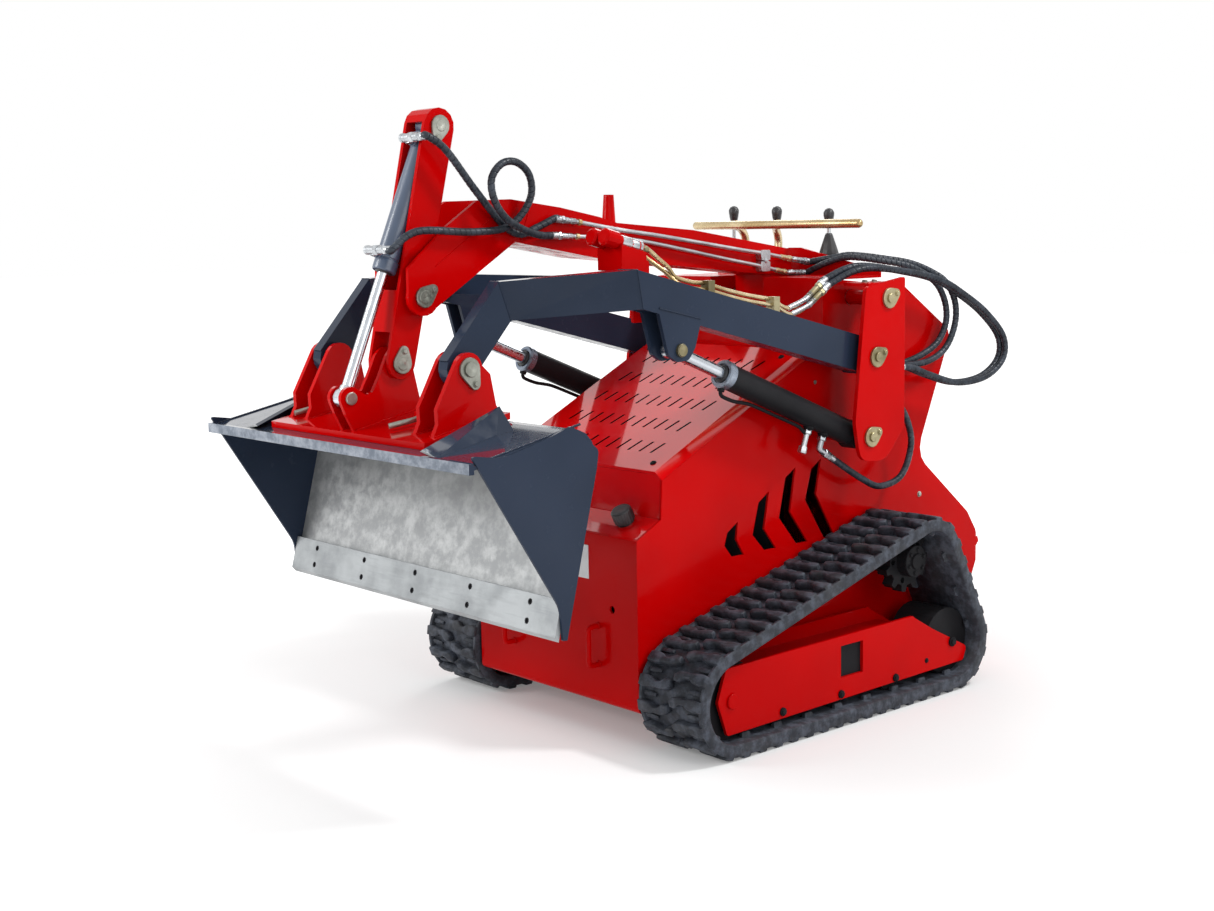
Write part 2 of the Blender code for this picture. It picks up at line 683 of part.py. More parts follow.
def console():
    """Front panel, shelf and sloped back plate of the control tower, with the boom's slot."""
    inner = CHASSIS_HALF - SHEET - GAP
    base = BONNET_HIGH[1] - BONNET_DROP
    panel = block((-inner, inner), (CONSOLE_Y, CONSOLE_Y + SHEET), (base, CONSOLE_TOP))
    outer, lower = bonnet_section()
    deck = loft([[(x, y, BONNET_HIGH[1] + h) for x, h in outer + lower]
                 for y in (BONNET_HIGH[0] + GAP, CONSOLE_Y - GAP)])
    tie = block((-0.200, 0.200), (CONSOLE_Y - 0.010, CONSOLE_Y + 0.003),
                (BONNET_HIGH[1] - 0.0065, BONNET_HIGH[1] - 0.0005))
    shelf = block((-inner, inner), (CONSOLE_Y, BACKPLATE_Y + SHEET),
                  (CONSOLE_TOP - SHEET, CONSOLE_TOP))
    crest = [(-inner, CONSOLE_TOP - SHEET), (-inner, 1.042), (-0.190, 1.061), (-0.020, 1.098),
             (0.020, 1.098), (0.190, 1.061), (inner, 1.042), (inner, CONSOLE_TOP - SHEET)]
    back = front_prism(crest, BACKPLATE_Y, BACKPLATE_Y + SHEET)
    fuse(panel, shelf, back, deck, tie)
    slot = block((-BOOM_SLOT_HALF, BOOM_SLOT_HALF), (CONSOLE_Y - 0.01, BACKPLATE_Y - 0.004),
                 (BOOM_SLOT_FLOOR, CONSOLE_TOP + 0.05))
    cut(panel, slot)
    for side in (-1.0, 1.0):
        x0, x1 = sorted((side * (BOOM_SLOT_HALF + 0.002), side * (BOOM_SLOT_HALF + 0.012)))
        lug = block((x0, x1), (CONSOLE_Y + 0.002, BACKPLATE_Y + 0.002),
                    (BOOM_SLOT_FLOOR, CONSOLE_TOP - 0.002))
        fuse(panel, lug)
    cut(panel, pin(BOOM_PIVOT, -0.2, 0.2, PIN_R + PIN_CLEARANCE))
    return finish(panel, "console", "chassis", "red_paint")


def cover_z(y):
    """Height of the rear cover's flat top behind the console's back plate."""
    (y0, z0, _), (y1, z1, _) = COVER_TOP
    return z0 + (z1 - z0) * (y - y0) / (y1 - y0)


def rear_cover():
    """Folded sheet that closes the machine's back between the side plates."""
    inner = CHASSIS_HALF - SHEET - GAP
    foot = REAR_Y - SHEET - 2.0 * GAP
    outline = folded_sheet(COVER_TOP + ((1.112, 0.871, 0.026), (0.974, 0.564, 0.064),
                                        (1.195, 0.385, 0.036), (foot, 0.3305, 0.0)), SHEET)
    return finish(prism(outline, -inner, inner), "rear_cover", "chassis", "red_paint")


def rear_step():
    face = REAR_Y + GAP
    step = prism(rounded(((face, 0.236, 0.0), (face, 0.302, 0.0), (face + 0.060, 0.302, 0.004),
                          (face + 0.065, 0.288, 0.006), (face + 0.022, 0.244, 0.010))),
                 -0.250, 0.250)
    return finish(step, "rear_step", "chassis", "red_paint")


def engine_block():
    engine = block((-0.200, 0.200), (0.180, 0.560), (FLOOR_Z + SHEET + GAP, 0.560))
    return finish(engine, "engine_block", "chassis", "black_paint")


def filler_cap():
    """Filler neck and its cap, square to the sloped shelf."""
    rise = (SHELF_Z - FRONT_TOP_Z) / SHELF_Y
    place = Vector((CAP_X, CAP_Y, FRONT_TOP_Z + rise * CAP_Y))
    up = Vector((0.0, -rise, 1.0)).normalized()
    profile = ((GAP, 0.0), (GAP, 0.020), (0.024, 0.020), (0.024, 0.024), (0.033, 0.024),
               (0.037, 0.018), (0.037, 0.0))
    cap = lathe_ends(profile, place, up, 16)
    return finish(cap, "filler_cap", "chassis", "black_plastic")


def handle_bar():
    """Grab bar above the console on two legs that bend back and down to the rear cover."""
    bar = pipe([(BAR_X[0], BAR_Y, BAR_Z), (BAR_X[1], BAR_Y, BAR_Z)], BAR_R, 10)
    foot_z = cover_z(LEG_Y - BAR_R) + GAP
    for joint_x, foot_x in BAR_LEGS:
        run_x, run_y = foot_x - joint_x, LEG_Y - BAR_Y
        leg = [(joint_x + run_x * share, BAR_Y + run_y * back, BAR_Z - drop)
               for share, back, drop in ((0.0, 0.0, 0.0), (0.50, 0.38, 0.004), (0.85, 0.76, 0.014),
                                         (1.0, 1.0, 0.038))]
        fuse(bar, pipe(leg + [(foot_x, LEG_Y, foot_z)], 0.95 * BAR_R, 10))
    return finish(bar, "handle_bar", "chassis", "zinc")


def control_levers():
    """Three hand levers on one plate, the left one in a rubber boot."""
    front, back = LEVER_Y - 0.006, LEVER_Y + 0.034
    plate = prism([(front, cover_z(front) + GAP), (back, cover_z(back) + GAP),
                   (back, cover_z(back) + 0.008), (front, cover_z(front) + 0.008)],
                  LEVERS[0][0] - 0.015, LEVERS[-1][0] + 0.032)
    upright = (0.0, 0.0, 1.0)
    parts = []
    for x, top, boot in LEVERS:
        parts.append(rod((x, LEVER_Y, 1.003), (x, LEVER_Y, top - 0.030), 0.005, 8))
        parts.append(lathe_ends(((top - 0.046, 0.0), (top - 0.046, 0.008), (top - 0.030, 0.012),
                                 (top - 0.012, 0.014), (top - 0.003, 0.009), (top, 0.0)),
                                (x, LEVER_Y, 0.0), upright, 10))
        if boot:
            parts.append(lathe_ends(((1.0042, 0.0), (1.0042, 0.026), (1.082, 0.026), (1.092, 0.023),
                                     (1.130, 0.010), (1.132, 0.0)), (x, LEVER_Y, 0.0), upright, 12))
    fuse(plate, *parts)
    return finish(plate, "control_levers", "chassis", "black_plastic")


def tow_loops():
    """Bent bar loops on the front face."""
    loops = []
    for x in (-0.155, 0.155):
        loops.append(finish(
            pipe([(x, -GAP, 0.262), (x, -0.020, 0.262), (x, -0.030, 0.252), (x, -0.030, 0.182),
                  (x, -0.020, 0.172), (x, -GAP, 0.172)], 0.006, 8),
            "tow_loop_" + ("left" if x > 0 else "right"), "chassis", "red_paint"))
    return loops


def blank_label():
    plate = block((0.070, 0.126), (-0.0015, -GAP), (0.367, 0.445))
    return finish(plate, "blank_label", "chassis", "label_white")


def post(side):
    """Outer plate with its bent top flange and its three pins."""
    outline = rounded(POST_OUTLINE)
    plate = prism(outline, POST_X, POST_X + POST_SHEET)
    flange = block((POST_FLANGE_IN, POST_X + 0.002), (0.652, 0.772), (1.0105, 1.0185))
    pins = []
    for place in (BOOM_PIVOT, ARM_PIVOT, LIFT_BASE_PIN):
        pins.append(pin(place, CHASSIS_HALF + GAP, POST_X + 0.002, PIN_R))
        keeper = capsule(place, 0.024, (place[0] + 0.024, place[1] + 0.010), 0.011, 3)
        pins.append(prism(keeper, POST_X + 0.008, POST_X + POST_SHEET + 0.006))
        pins.append(pin(place, POST_X + 0.012, POST_X + POST_SHEET + 0.011, 0.011, 12))
    fuse(plate, flange, *pins)
    if side == "right":
        copy = mirrored(plate)
        bpy.data.objects.remove(plate)
        plate = copy
    return finish(plate, "post_" + side, "chassis", "red_paint")


# Undercarriage

def lug_blocks():
    """Tread lugs in two staggered rows round the belt."""
    path = belt_path(TRACK_WHEELS, LUG_HEIGHT, 5.0)
    points = [Vector(p) for p in path]
    lengths = [0.0]
    for a, b in zip(points, points[1:] + points[:1]):
        lengths.append(lengths[-1] + (b - a).length)
    total = lengths[-1]
    count = round(total / LUG_PITCH)
    middle = (TRACK_IN + TRACK_OUT) / 2.0
    rows = ((TRACK_IN, middle - 0.004, 0.0), (middle + 0.004, TRACK_OUT, 0.5))
    lugs = []
    for x0, x1, phase in rows:
        for i in range(count):
            s = total * ((i + phase) % count) / count
            k = max(j for j in range(len(points)) if lengths[j] <= s)
            a, b = points[k], points[(k + 1) % len(points)]
            along = (b - a).normalized()
            out = Vector((along.y, -along.x))
            foot = a + along * (s - lengths[k])
            ring = []
            for h, half in ((-0.006, 0.017), (LUG_HEIGHT, 0.012)):
                for end in (-half, half):
                    ring.append(foot + along * end + out * h)
            outline = [ring[0], ring[1], ring[3], ring[2]]
            lugs.append(prism([(p.x, p.y) for p in outline], x0, x1))
    return join(lugs)


def track(side):
    outer = belt_path(TRACK_WHEELS, LUG_HEIGHT)
    inner = belt_path(TRACK_WHEELS, LUG_HEIGHT + BELT)
    belt = prism(outer, TRACK_IN, TRACK_OUT)
    cut(belt, prism(inner, TRACK_IN - 0.01, TRACK_OUT + 0.01))
    fuse(belt, lug_blocks())
    if side == "right":
        copy = mirrored(belt)
        bpy.data.objects.remove(belt)
        belt = copy
    return finish(belt, "track_" + side, "chassis", "rubber")


def place_side(item, side):
    if side == "left":
        return item
    copy = mirrored(item)
    bpy.data.objects.remove(item)
    return copy


def track_frame(side):
    """Two plates joined by a beam, on two stubs from the chassis."""
    outline = rounded(FRAME_OUTLINE)
    outer = prism(outline, FRAME_OUT - FRAME_SHEET, FRAME_OUT)
    inner = prism(outline, FRAME_IN, FRAME_IN + FRAME_SHEET)
    beam = block((FRAME_IN + 0.002, FRAME_OUT - 0.002), (0.200, 0.770), (0.125, 0.175))
    stubs = [block((CHASSIS_HALF + GAP, FRAME_IN + 0.002), (y, y + 0.100), (0.120, 0.180))
             for y in (0.240, 0.620)]
    fuse(inner, outer, beam, *stubs)
    cut(inner, block((FRAME_OUT - 0.02, FRAME_OUT + 0.01), (0.470, 0.549), (0.109, 0.185)))
    for wheel in (TRACK_WHEELS[0], TRACK_WHEELS[1]):
        cut(inner, pin(wheel[:2], FRAME_IN - 0.02, FRAME_OUT + 0.02, 0.012 + GAP, 12))
    for y in ROLLER_Y:
        z = LUG_HEIGHT + BELT + GAP + ROLLER_R
        cut(inner, pin((y, z), FRAME_IN - 0.02, FRAME_OUT + 0.02, 0.010 + GAP, 8))
    return finish(place_side(inner, side), "track_frame_" + side, "chassis", "red_paint")


def wheel_radius(tip):
    """Radius that clears the flats inside the belt's bends."""
    return (tip - LUG_HEIGHT - BELT) * math.cos(math.radians(BELT_STEP / 2.0)) - GAP


def idler(name, wheel, side):
    y, z, tip = wheel
    radius = wheel_radius(tip)
    centre = (FRAME_IN + FRAME_OUT) / 2.0
    half = 0.055
    body = pin((y, z), centre - half, centre + half, radius, 20)
    axle = pin((y, z), FRAME_IN - 0.004, FRAME_OUT + 0.004, 0.012, 12)
    fuse(body, axle)
    return finish(place_side(body, side), name + "_" + side, "chassis", "black_paint")


def rollers(side):
    """One bottom roller at each station."""
    made = []
    z = LUG_HEIGHT + BELT + GAP + ROLLER_R
    for i, y in enumerate(ROLLER_Y):
        profile = ((-0.052, 0.0), (-0.052, ROLLER_R), (0.052, ROLLER_R), (0.052, 0.0))
        centre = (FRAME_IN + FRAME_OUT) / 2.0
        body = lathe_ends(profile, (centre, y, z), (1.0, 0.0, 0.0), 14)
        fuse(body, pin((y, z), FRAME_IN - 0.003, FRAME_OUT + 0.003, 0.010, 8))
        name = "roller_{}_{}".format(i + 1, side)
        made.append(finish(place_side(body, side), name, "chassis", "black_paint"))
    return made


def sprocket(side):
    """Toothed drive wheel on its motor hub."""
    y, z, tip = TRACK_WHEELS[2]
    radius = wheel_radius(tip)
    teeth = 11
    ring = []
    for i in range(teeth):
        for share, r in ((-0.30, radius - 0.016), (-0.16, radius), (0.16, radius),
                         (0.30, radius - 0.016)):
            a = 2.0 * math.pi * (i + share) / teeth
            ring.append((y + r * math.cos(a), z + r * math.sin(a)))
    wheel = prism(ring, 0.385, 0.415)
    hub = pin((y, z), CHASSIS_HALF + GAP, 0.440, 0.040, 16)
    fuse(wheel, hub)
    holes = []
    for i in range(5):
        a = 2.0 * math.pi * (i + 0.5) / 5
        holes.append(pin((y + 0.052 * math.cos(a), z + 0.052 * math.sin(a)), 0.37, 0.43, 0.008, 6))
    cut(wheel, join(holes))
    return finish(place_side(wheel, side), "sprocket_" + side, "chassis", "black_paint")


# Loader arms

def arm_side():
    """Left arm: straight rear run, bent middle and leg down to the tool pin."""
    stations = (
        (ARM_IN, ARM_OUT, (0.672, 0.888), (0.672, 0.801)),
        (ARM_IN, ARM_OUT, (-0.070, 1.073), (-0.055, 0.990)),
        (LEG_IN, LEG_OUT, (-0.335, 1.056), (-0.305, 0.975)),
        (LEG_IN, LEG_OUT, (-0.470, 0.903), (-0.402, 0.867)),
    )
    rings = []
    for x0, x1, top, low in stations:
        rings.append([(x0, *top), (x1, *top), (x1, *low), (x0, *low)])
    beam = loft(rings)
    rear_eye = pin(ARM_PIVOT, ARM_IN, ARM_OUT, 0.044, 16)
    front_eye = pin(TOOL_PIN, LEG_IN, LEG_OUT, 0.038, 16)
    lug = rounded(((-0.016, 1.000, 0.0), (0.016, 0.888, 0.016), (0.040, 0.872, 0.018),
                   (0.076, 0.874, 0.018), (0.096, 0.900, 0.020), (0.118, 0.970, 0.0)))
    plates = [prism(lug, ARM_IN, ARM_IN + LUG_SHEET), prism(lug, ARM_OUT - LUG_SHEET, ARM_OUT)]
    heads = [pin(LIFT_ROD_PIN, ARM_OUT - 0.004, ARM_OUT + 0.008, 0.014, 12)]
    fuse(beam, rear_eye, front_eye, *plates, *heads)
    notch = prism(((-0.045, 0.90), (0.125, 0.90), (0.125, 0.968), (-0.045, 1.006)),
                  ARM_IN + LUG_SHEET, ARM_OUT - LUG_SHEET)
    cut(beam, notch)
    cut(beam, pin(ARM_PIVOT, 0.2, 0.5, PIN_R + PIN_CLEARANCE))
    cut(beam, pin(TOOL_PIN, 0.1, 0.3, PIN_R + PIN_CLEARANCE))
    return beam


def loader_arms():
    left = arm_side()
    right = mirrored(left)
    cross = block((-ARM_IN - 0.01, ARM_IN + 0.01), CROSS_Y, CROSS_Z)
    fuse(cross, left, right)
    return finish(cross, "loader_arms", "arms", "slate_paint")


def coupler_bracket():
    """Plate on the left arm's inner face with a block that holds two capped couplers."""
    face = ARM_IN - GAP
    front, rear = CROSS_Y[1] + GAP, 0.020
    plate = prism(rounded(((front, 0.958, 0.004), (rear, 0.958, 0.004), (rear, 1.090, 0.006),
                           (front, 1.090, 0.006))), face - 0.008, face)
    y, z = COUPLER_END
    nose = y - 0.071
    rise = COUPLER_HEADING[2] / COUPLER_HEADING[1] * (nose - y)
    head = prism([(y, z - 0.057), (y, z - 0.0095), (nose, z - 0.0095 + rise), (nose, z - 0.047)],
                 COUPLER_X[1] - 0.018, face)
    parts = [plate]
    for x in COUPLER_X:
        profile = ((0.0, 0.0), (0.0, 0.014), (0.072, 0.014), (0.072, 0.019), (0.106, 0.019),
                   (0.110, 0.014), (0.110, 0.0))
        parts.append(lathe_ends(profile, (x, y, z), COUPLER_HEADING, 14))
    fuse(head, *parts)
    return finish(head, "coupler_bracket", "arms", "red_paint")


def crimped_pipe(route):
    """Steel pipe along a route, its first and last stretch inside a wider ferrule."""
    route = [Vector(place) for place in route]
    first, last = route[1] - route[0], route[-2] - route[-1]
    line = [route[0] + first * 0.2] + route[1:-1] + [route[-1] + last * 0.2]
    return [pipe(line, PIPE_R, 6), rod(route[0], route[0] + first * 0.9, FERRULE_R, 8),
            rod(route[-1], route[-1] + last * 0.9, FERRULE_R, 8)]


def arm_pipes():
    """Two steel pipes from the couplers along the left arm, with two clamps."""
    spread = (1.0, 1.0, 0.83, 0.42)
    made = []
    for (x, drop), start_x in zip(ARM_PIPES, COUPLER_X):
        route = []
        for i, (y, z) in enumerate(ARM_PIPE_ROUTE):
            share = spread[i] if i < len(spread) else 0.0
            route.append((x + (start_x - x) * share, y, z - drop * (1.0 - share)))
        made += crimped_pipe(route)
    for y, z in ARM_CLAMPS:
        made.append(block((ARM_PIPES[0][0] - 0.004, ARM_IN - GAP), (y - 0.010, y + 0.010),
                          (z - 0.050, z + 0.008)))
    fuse(*made)
    return finish(made[0], "arm_pipes", "arms", "zinc")


# Cylinders

def cylinder_axis(base, tip, x):
    start = Vector((x, *base))
    end = Vector((x, *tip))
    return start, (end - start).normalized(), (end - start).length


def tilt_port(s):
    """Centre of the tilt cylinder's cross fitting at s along its axis, in front of it."""
    start, heading, _ = cylinder_axis(MAST_TOP_PIN, EAR_PIN, 0.0)
    return start + heading * s + Vector((0.0, heading.z, -heading.y)) * PORT_REACH


def lift_port(s, reach):
    """Foot and end of a fitting below the lift cylinder at s along its axis."""
    start, heading, _ = cylinder_axis(LIFT_BASE_PIN, LIFT_ROD_PIN, LIFT_X)
    down = Vector((0.0, -heading.z, heading.y))
    foot = start + heading * s
    return foot + down * 0.024, foot + down * reach


def lift_elbow():
    """Corner and rear end of the elbow that feeds the lift cylinder."""
    corner = lift_port(*LIFT_PORTS[1])[1]
    return corner, corner + Vector((0.0, 0.86, -0.50)) * 0.034


def barrel(base, tip, x, length, radius, bore, bore_start, eye_r, eye_half, pin_r, collar, ports):
    """Hollow cylinder body with its base eye, gland collar and fittings."""
    start, heading, _ = cylinder_axis(base, tip, x)
    profile = ((eye_r * 0.75, 0.0), (eye_r * 0.75, radius), (length - 0.020, radius),
               (length - 0.018, collar), (length, collar), (length, bore), (bore_start, bore),
               (bore_start, 0.0))
    body = lathe_ends(profile, start, heading, 16)
    eye = pin(base, x - eye_half, x + eye_half, eye_r, 16)
    fuse(body, eye, *ports)
    cut(body, pin(base, x - 0.1, x + 0.1, pin_r + PIN_CLEARANCE))
    return body


def piston_rod(base, tip, x, inside, radius, eye_r, eye_half, pin_half):
    """Rod from inside its barrel to the eye at its far pin, with that pin in it."""
    start, heading, length = cylinder_axis(base, tip, x)
    body = rod(start + heading * inside, start + heading * (length - eye_r * 0.6), radius, 16)
    eye = pin(tip, x - eye_half, x + eye_half, eye_r, 16)
    return fuse(body, eye, pin(tip, x - pin_half, x + pin_half, eye_r * 0.55, 14))


def lift_cylinder(side):
    corner, tip = lift_elbow()
    ports = [rod(*lift_port(*port), 0.0065, 10) for port in LIFT_PORTS]
    foot, end = lift_port(*LIFT_PORTS[0])
    ports.append(rod(end - (end - foot).normalized() * 0.014, end, 0.011, 6))
    ports.append(rod(corner + (corner - tip) * 0.35, tip, 0.0085, 10))
    body = barrel(LIFT_BASE_PIN, LIFT_ROD_PIN, LIFT_X, LIFT_BARREL, 0.0300, 0.0156, 0.075, 0.032,
                  0.024, PIN_R, 0.033, ports)
    rod_part = piston_rod(LIFT_BASE_PIN, LIFT_ROD_PIN, LIFT_X, 0.300, 0.015, 0.019, 0.014,
                          LIFT_X - ARM_IN - LUG_SHEET - GAP)
    finish(place_side(body, side), "lift_barrel_" + side, "lift_barrel_" + side, "black_paint")
    finish(place_side(rod_part, side), "lift_rod_" + side, "lift_rod_" + side, "chrome")


def tilt_cylinder():
    ports = []
    for s in TILT_PORTS:
        start, heading, _ = cylinder_axis(MAST_TOP_PIN, EAR_PIN, 0.0)
        port = tilt_port(s)
        ports.append(rod(start + heading * s + (port - start - heading * s) * 0.45, port, 0.010, 10))
        ports.append(rod((-0.018, port.y, port.z), (PORT_END_X, port.y, port.z), 0.0105, 10))
    body = barrel(MAST_TOP_PIN, EAR_PIN, 0.0, TILT_BARREL, 0.0250, 0.0140, 0.045, 0.024, 0.018,
                  0.012, 0.0262, ports)
    rod_part = piston_rod(MAST_TOP_PIN, EAR_PIN, 0.0, TILT_BARREL - 0.035, 0.0125, 0.021, 0.012,
                          TOOL_LUG_HALF - TOOL_LUG_SHEET - GAP)
    finish(body, "tilt_barrel", "tilt_barrel", "slate_paint")
    finish(rod_part, "tilt_rod", "tilt_rod", "chrome")


# Boom, mast and tool

def boom():
    """Tapered box with two slanted plates at the front and a pivot lug at the rear."""
    half, sheet = BOOM_HALF, BOOM_SHEET
    rear = (BOOM_CREST[-1][0] + 0.002, 0.990)
    outline = list(BOOM_CREST) + [rear] + arc(BOOM_PIVOT, 0.036, 0.0, -180.0, 8) + list(BOOM_UNDER)
    outline += [(-0.360, 0.997)] + arc(MAST_PIN, 0.040, -38.0, -200.0, 8) + list(BOOM_NOSE)
    body = prism(outline, -half, half)
    fork = [(-0.60, 0.90), (-0.150, 0.90), (-0.125, 1.128), (-0.095, 1.170), (-0.075, 1.205),
            (-0.070, 1.30), (-0.60, 1.30)]
    cut(body, prism(fork, -half + sheet, half - sheet))
    hollow = [(0.60, 1.060), (0.100, 1.104), (-0.080, 1.136), (-0.060, 1.200)]
    hollow += [(y, z - 0.012) for y, z in BOOM_CREST[1:-1]]
    cut(body, prism(hollow, -half + sheet, half - sheet))
    cut(body, block((-0.020, 0.020), (0.20, 0.50), (1.02, 1.100)))
    cut(body, pin(BOOM_PIVOT, -0.1, 0.1, PIN_R + PIN_CLEARANCE))
    cut(body, pin(MAST_PIN, -0.1, 0.1, MAST_PIN_R + PIN_CLEARANCE))
    stub = rod((0.0, 0.191, 1.158), (0.0, 0.192, 1.236), 0.017, 16, 0.012)
    fuse(body, stub)
    return finish(body, "boom", "boom", "red_paint")


def boom_pipes():
    """Two steel pipes along the boom's left side, with their clamp."""
    made = []
    for route in (BOOM_PIPE_UPPER, BOOM_PIPE_LOWER):
        made += crimped_pipe([(BOOM_PIPE_X, y, z) for y, z in route])
    made.append(block((BOOM_HALF + GAP, BOOM_PIPE_X + 0.007),
                      (BOOM_CLAMP_Y - 0.016, BOOM_CLAMP_Y + 0.016), BOOM_CLAMP_Z))
    fuse(*made)
    return finish(made[0], "boom_pipes", "boom", "bare_steel")


def boom_pivot_shaft():
    half = CHASSIS_HALF - GAP
    shaft = pin(BOOM_PIVOT, -half, half, PIN_R)
    return finish(shaft, "boom_pivot_shaft", "chassis", "bare_steel")


def keeper(place, turn, first, last, radius):
    """Pin end and the flat teardrop plate that holds it, outside a plate at x = first."""
    a = math.radians(turn)
    tail = (place[0] + 0.026 * math.cos(a), place[1] + 0.026 * math.sin(a))
    return [pin(place, first, last, radius, 12),
            prism(capsule(place, 0.022, tail, 0.011, 3), last - 0.006, last - 0.001)]


def mast():
    """Two long plates joined by a web behind the tilt cylinder, a boxed foot and a round cap."""
    inner = MAST_HALF - MAST_SHEET
    foot, top = Vector(TOOL_PIN), Vector(MAST_TOP_PIN)
    along = (top - foot).normalized()
    across = Vector((along.y, -along.x))
    body = prism(capsule(TOOL_PIN, 0.034, MAST_TOP_PIN, 0.038, 7), -MAST_HALF, MAST_HALF)
    lower = [foot + along * up + across * back for up, back in MAST_FOOT_CUT]
    trough = [foot + along * 0.165 + across * MAST_BACK, foot + along * 0.150 - across * 0.026,
              foot + along * 0.150 - across * 0.200, top - across * 0.200]
    for step in range(7):
        a = math.radians(180.0 - 30.0 * step)
        trough.append(top + across * (MAST_BACK * math.cos(a)) + along * (MAST_BACK * math.sin(a)))
    cut(body, prism([tuple(p) for p in lower], -inner, inner))
    cut(body, prism([tuple(p) for p in trough], -inner, inner))
    reach = MAST_HALF - 0.001
    parts = [pin(MAST_TOP_PIN, -reach, reach, 0.012, 16), pin(TOOL_PIN, -reach, reach, TOOL_LUG_PIN, 14)]
    outer = [*keeper(MAST_TOP_PIN, 250.0, reach, MAST_HALF + 0.007, 0.012),
             *keeper(MAST_PIN, 35.0, reach, BOOM_HALF + 0.008, MAST_PIN_R),
             *keeper(TOOL_PIN, 80.0, reach, MAST_HALF + 0.007, TOOL_LUG_PIN),
             pin(MAST_PIN, reach, BOOM_HALF - BOOM_SHEET - GAP, 0.024, 12)]
    for part in outer:
        parts += [part, mirrored(part)]
    fuse(body, *parts)
    return finish(body, "mast", "mast", "red_paint")


def back_z(y):
    """Height of the bucket's outer back at y."""
    return BUCKET_LIP[1] + BACK_SLOPE * (y - BUCKET_LIP[0])


def quick_attach():
    """Plate on the bucket's back with two pairs of arm brackets and the centre lugs."""
    front, rear = -0.560, -0.345
    bed = prism([(front, back_z(front) + GAP), (rear, back_z(rear) + GAP),
                 (rear, back_z(rear) + BED), (front, back_z(front) + BED)], -0.292, 0.292)
    sunk = BED - 0.006
    bracket = [(-0.5277, back_z(-0.5277) + sunk), (-0.5123, 0.7802), (-0.5135, 0.8103)]
    bracket += arc(TOOL_PIN, 0.034, 146.0, 10.0, 7)
    bracket += [(-0.3794, 0.8719), (-0.3663, 0.8076), (-0.352, back_z(-0.352) + sunk)]
    lug = [(-0.547, back_z(-0.547) + sunk), (-0.5679, 0.7868)]
    lug += arc(EAR_PIN, EAR_R, 205.0, 70.0, 7)
    lug += [(-0.5172, 0.8243), (-0.4995, 0.8298), (-0.4806, 0.8635), (-0.4625, 0.9020)]
    lug += arc(TOOL_PIN, 0.034, 148.0, 0.0, 7) + [(-0.375, back_z(-0.375) + sunk)]
    parts = [prism(bracket, centre - 0.006, centre + 0.006) for centre in BRACKET_X]
    tail = (TOOL_PIN[0] + 0.012, TOOL_PIN[1] - 0.030)
    inner = TOOL_LUG_HALF - TOOL_LUG_SHEET
    left = [pin(TOOL_PIN, 0.202, 0.272, PIN_R), pin(TOOL_PIN, 0.270, 0.285, 0.015, 14),
            prism(capsule(TOOL_PIN, 0.024, tail, 0.012, 3), 0.273, 0.280),
            prism(lug, inner, TOOL_LUG_HALF),
            pin(EAR_PIN, TOOL_LUG_HALF - 0.001, TOOL_LUG_HALF + 0.004, 0.013, 14)]
    for part in left:
        parts += [part, mirrored(part)]
    for x, y in LATCH_BLOCKS:
        parts.append(block((x - 0.014, x + 0.014), (y - 0.014, y + 0.014),
                           (back_z(y) + sunk, back_z(y) + BED + 0.022)))
    fuse(bed, *parts)
    cut(bed, pin(TOOL_PIN, -inner - 0.02, inner + 0.02, TOOL_LUG_PIN + PIN_CLEARANCE))
    return finish(bed, "quick_attach", "tool", "red_paint")


def lock_handle(side, points):
    """Bent locking handle lying on the quick attach plate."""
    route = [(x, y, back_z(y) + BED + rise) for x, y, rise in points]
    return finish(pipe(route, HANDLE_R, 8), "lock_handle_" + side, "tool", "zinc")


def bucket():
    """Open bucket: sloped back with lip and gussets, floor, and two side plates."""
    half, sheet = BUCKET_HALF, BUCKET_SHEET
    side = rounded(BUCKET_SIDE, 4)
    shell = folded_sheet((BUCKET_LIP + (0.0,), BUCKET_HEEL, BUCKET_FOOT + (0.0,)), sheet, 5)
    body = prism(shell, -half + 0.002, half - 0.002)
    lip = block((-half + 0.002, half - 0.002), (-0.606, -0.594), (0.712, 0.7335))
    plates = [prism(side, half - 0.006, half), prism(side, -half, -half + 0.006)]
    ribs = []
    for y, foot_x, top_x, rise in ((-0.585, 0.380, 0.320, 0.012), (-0.400, 0.375, 0.328, 0.045)):
        z = back_z(y)
        ribs.append([(foot_x, y, z - 0.003), (foot_x - 0.010, y, z - 0.003),
                     (top_x - 0.008, y, z + rise - 0.004), (top_x, y, z + rise)])
    gusset = loft(ribs)
    fuse(body, lip, gusset, mirrored(gusset), *plates)
    return finish(body, "bucket", "tool", "slate_paint")


def cutting_edge():
    """Thick bolt-on edge along the foot of the floor, with its two rows of bolt holes."""
    half = BUCKET_HALF - 0.006 - GAP
    foot, heel = Vector(BUCKET_FOOT), Vector(BUCKET_HEEL[:2])
    run = (heel - foot).normalized()
    across = Vector((-run.y, run.x))
    inner = foot + across * (BUCKET_SHEET + GAP)
    outline = [inner + run * 0.025, inner + across * EDGE_SHEET + run * 0.025,
               inner + across * EDGE_SHEET - run * 0.050, inner - run * 0.058]
    edge = prism([tuple(p) for p in outline], -half, half)
    holes = []
    for up in (0.008, -0.031):
        for k in range(5):
            x = EDGE_HOLE_PITCH * (k - 2)
            start = inner + run * up - across * 0.01
            end = inner + run * up + across * (EDGE_SHEET + 0.01)
            holes.append(rod((x, *start), (x, *end), 0.007, 8))
    cut(edge, join(holes))
    return finish(edge, "cutting_edge", "tool", "bare_steel")


# Hoses

def lead(place, heading):
    """First points of a hose, straight out of the fitting at place along heading."""
    place, heading = Vector(place), Vector(heading).normalized()
    return [place + heading * run for run in (HOSE_GAP, HOSE_GAP + 0.012, HOSE_GAP + 0.026)]


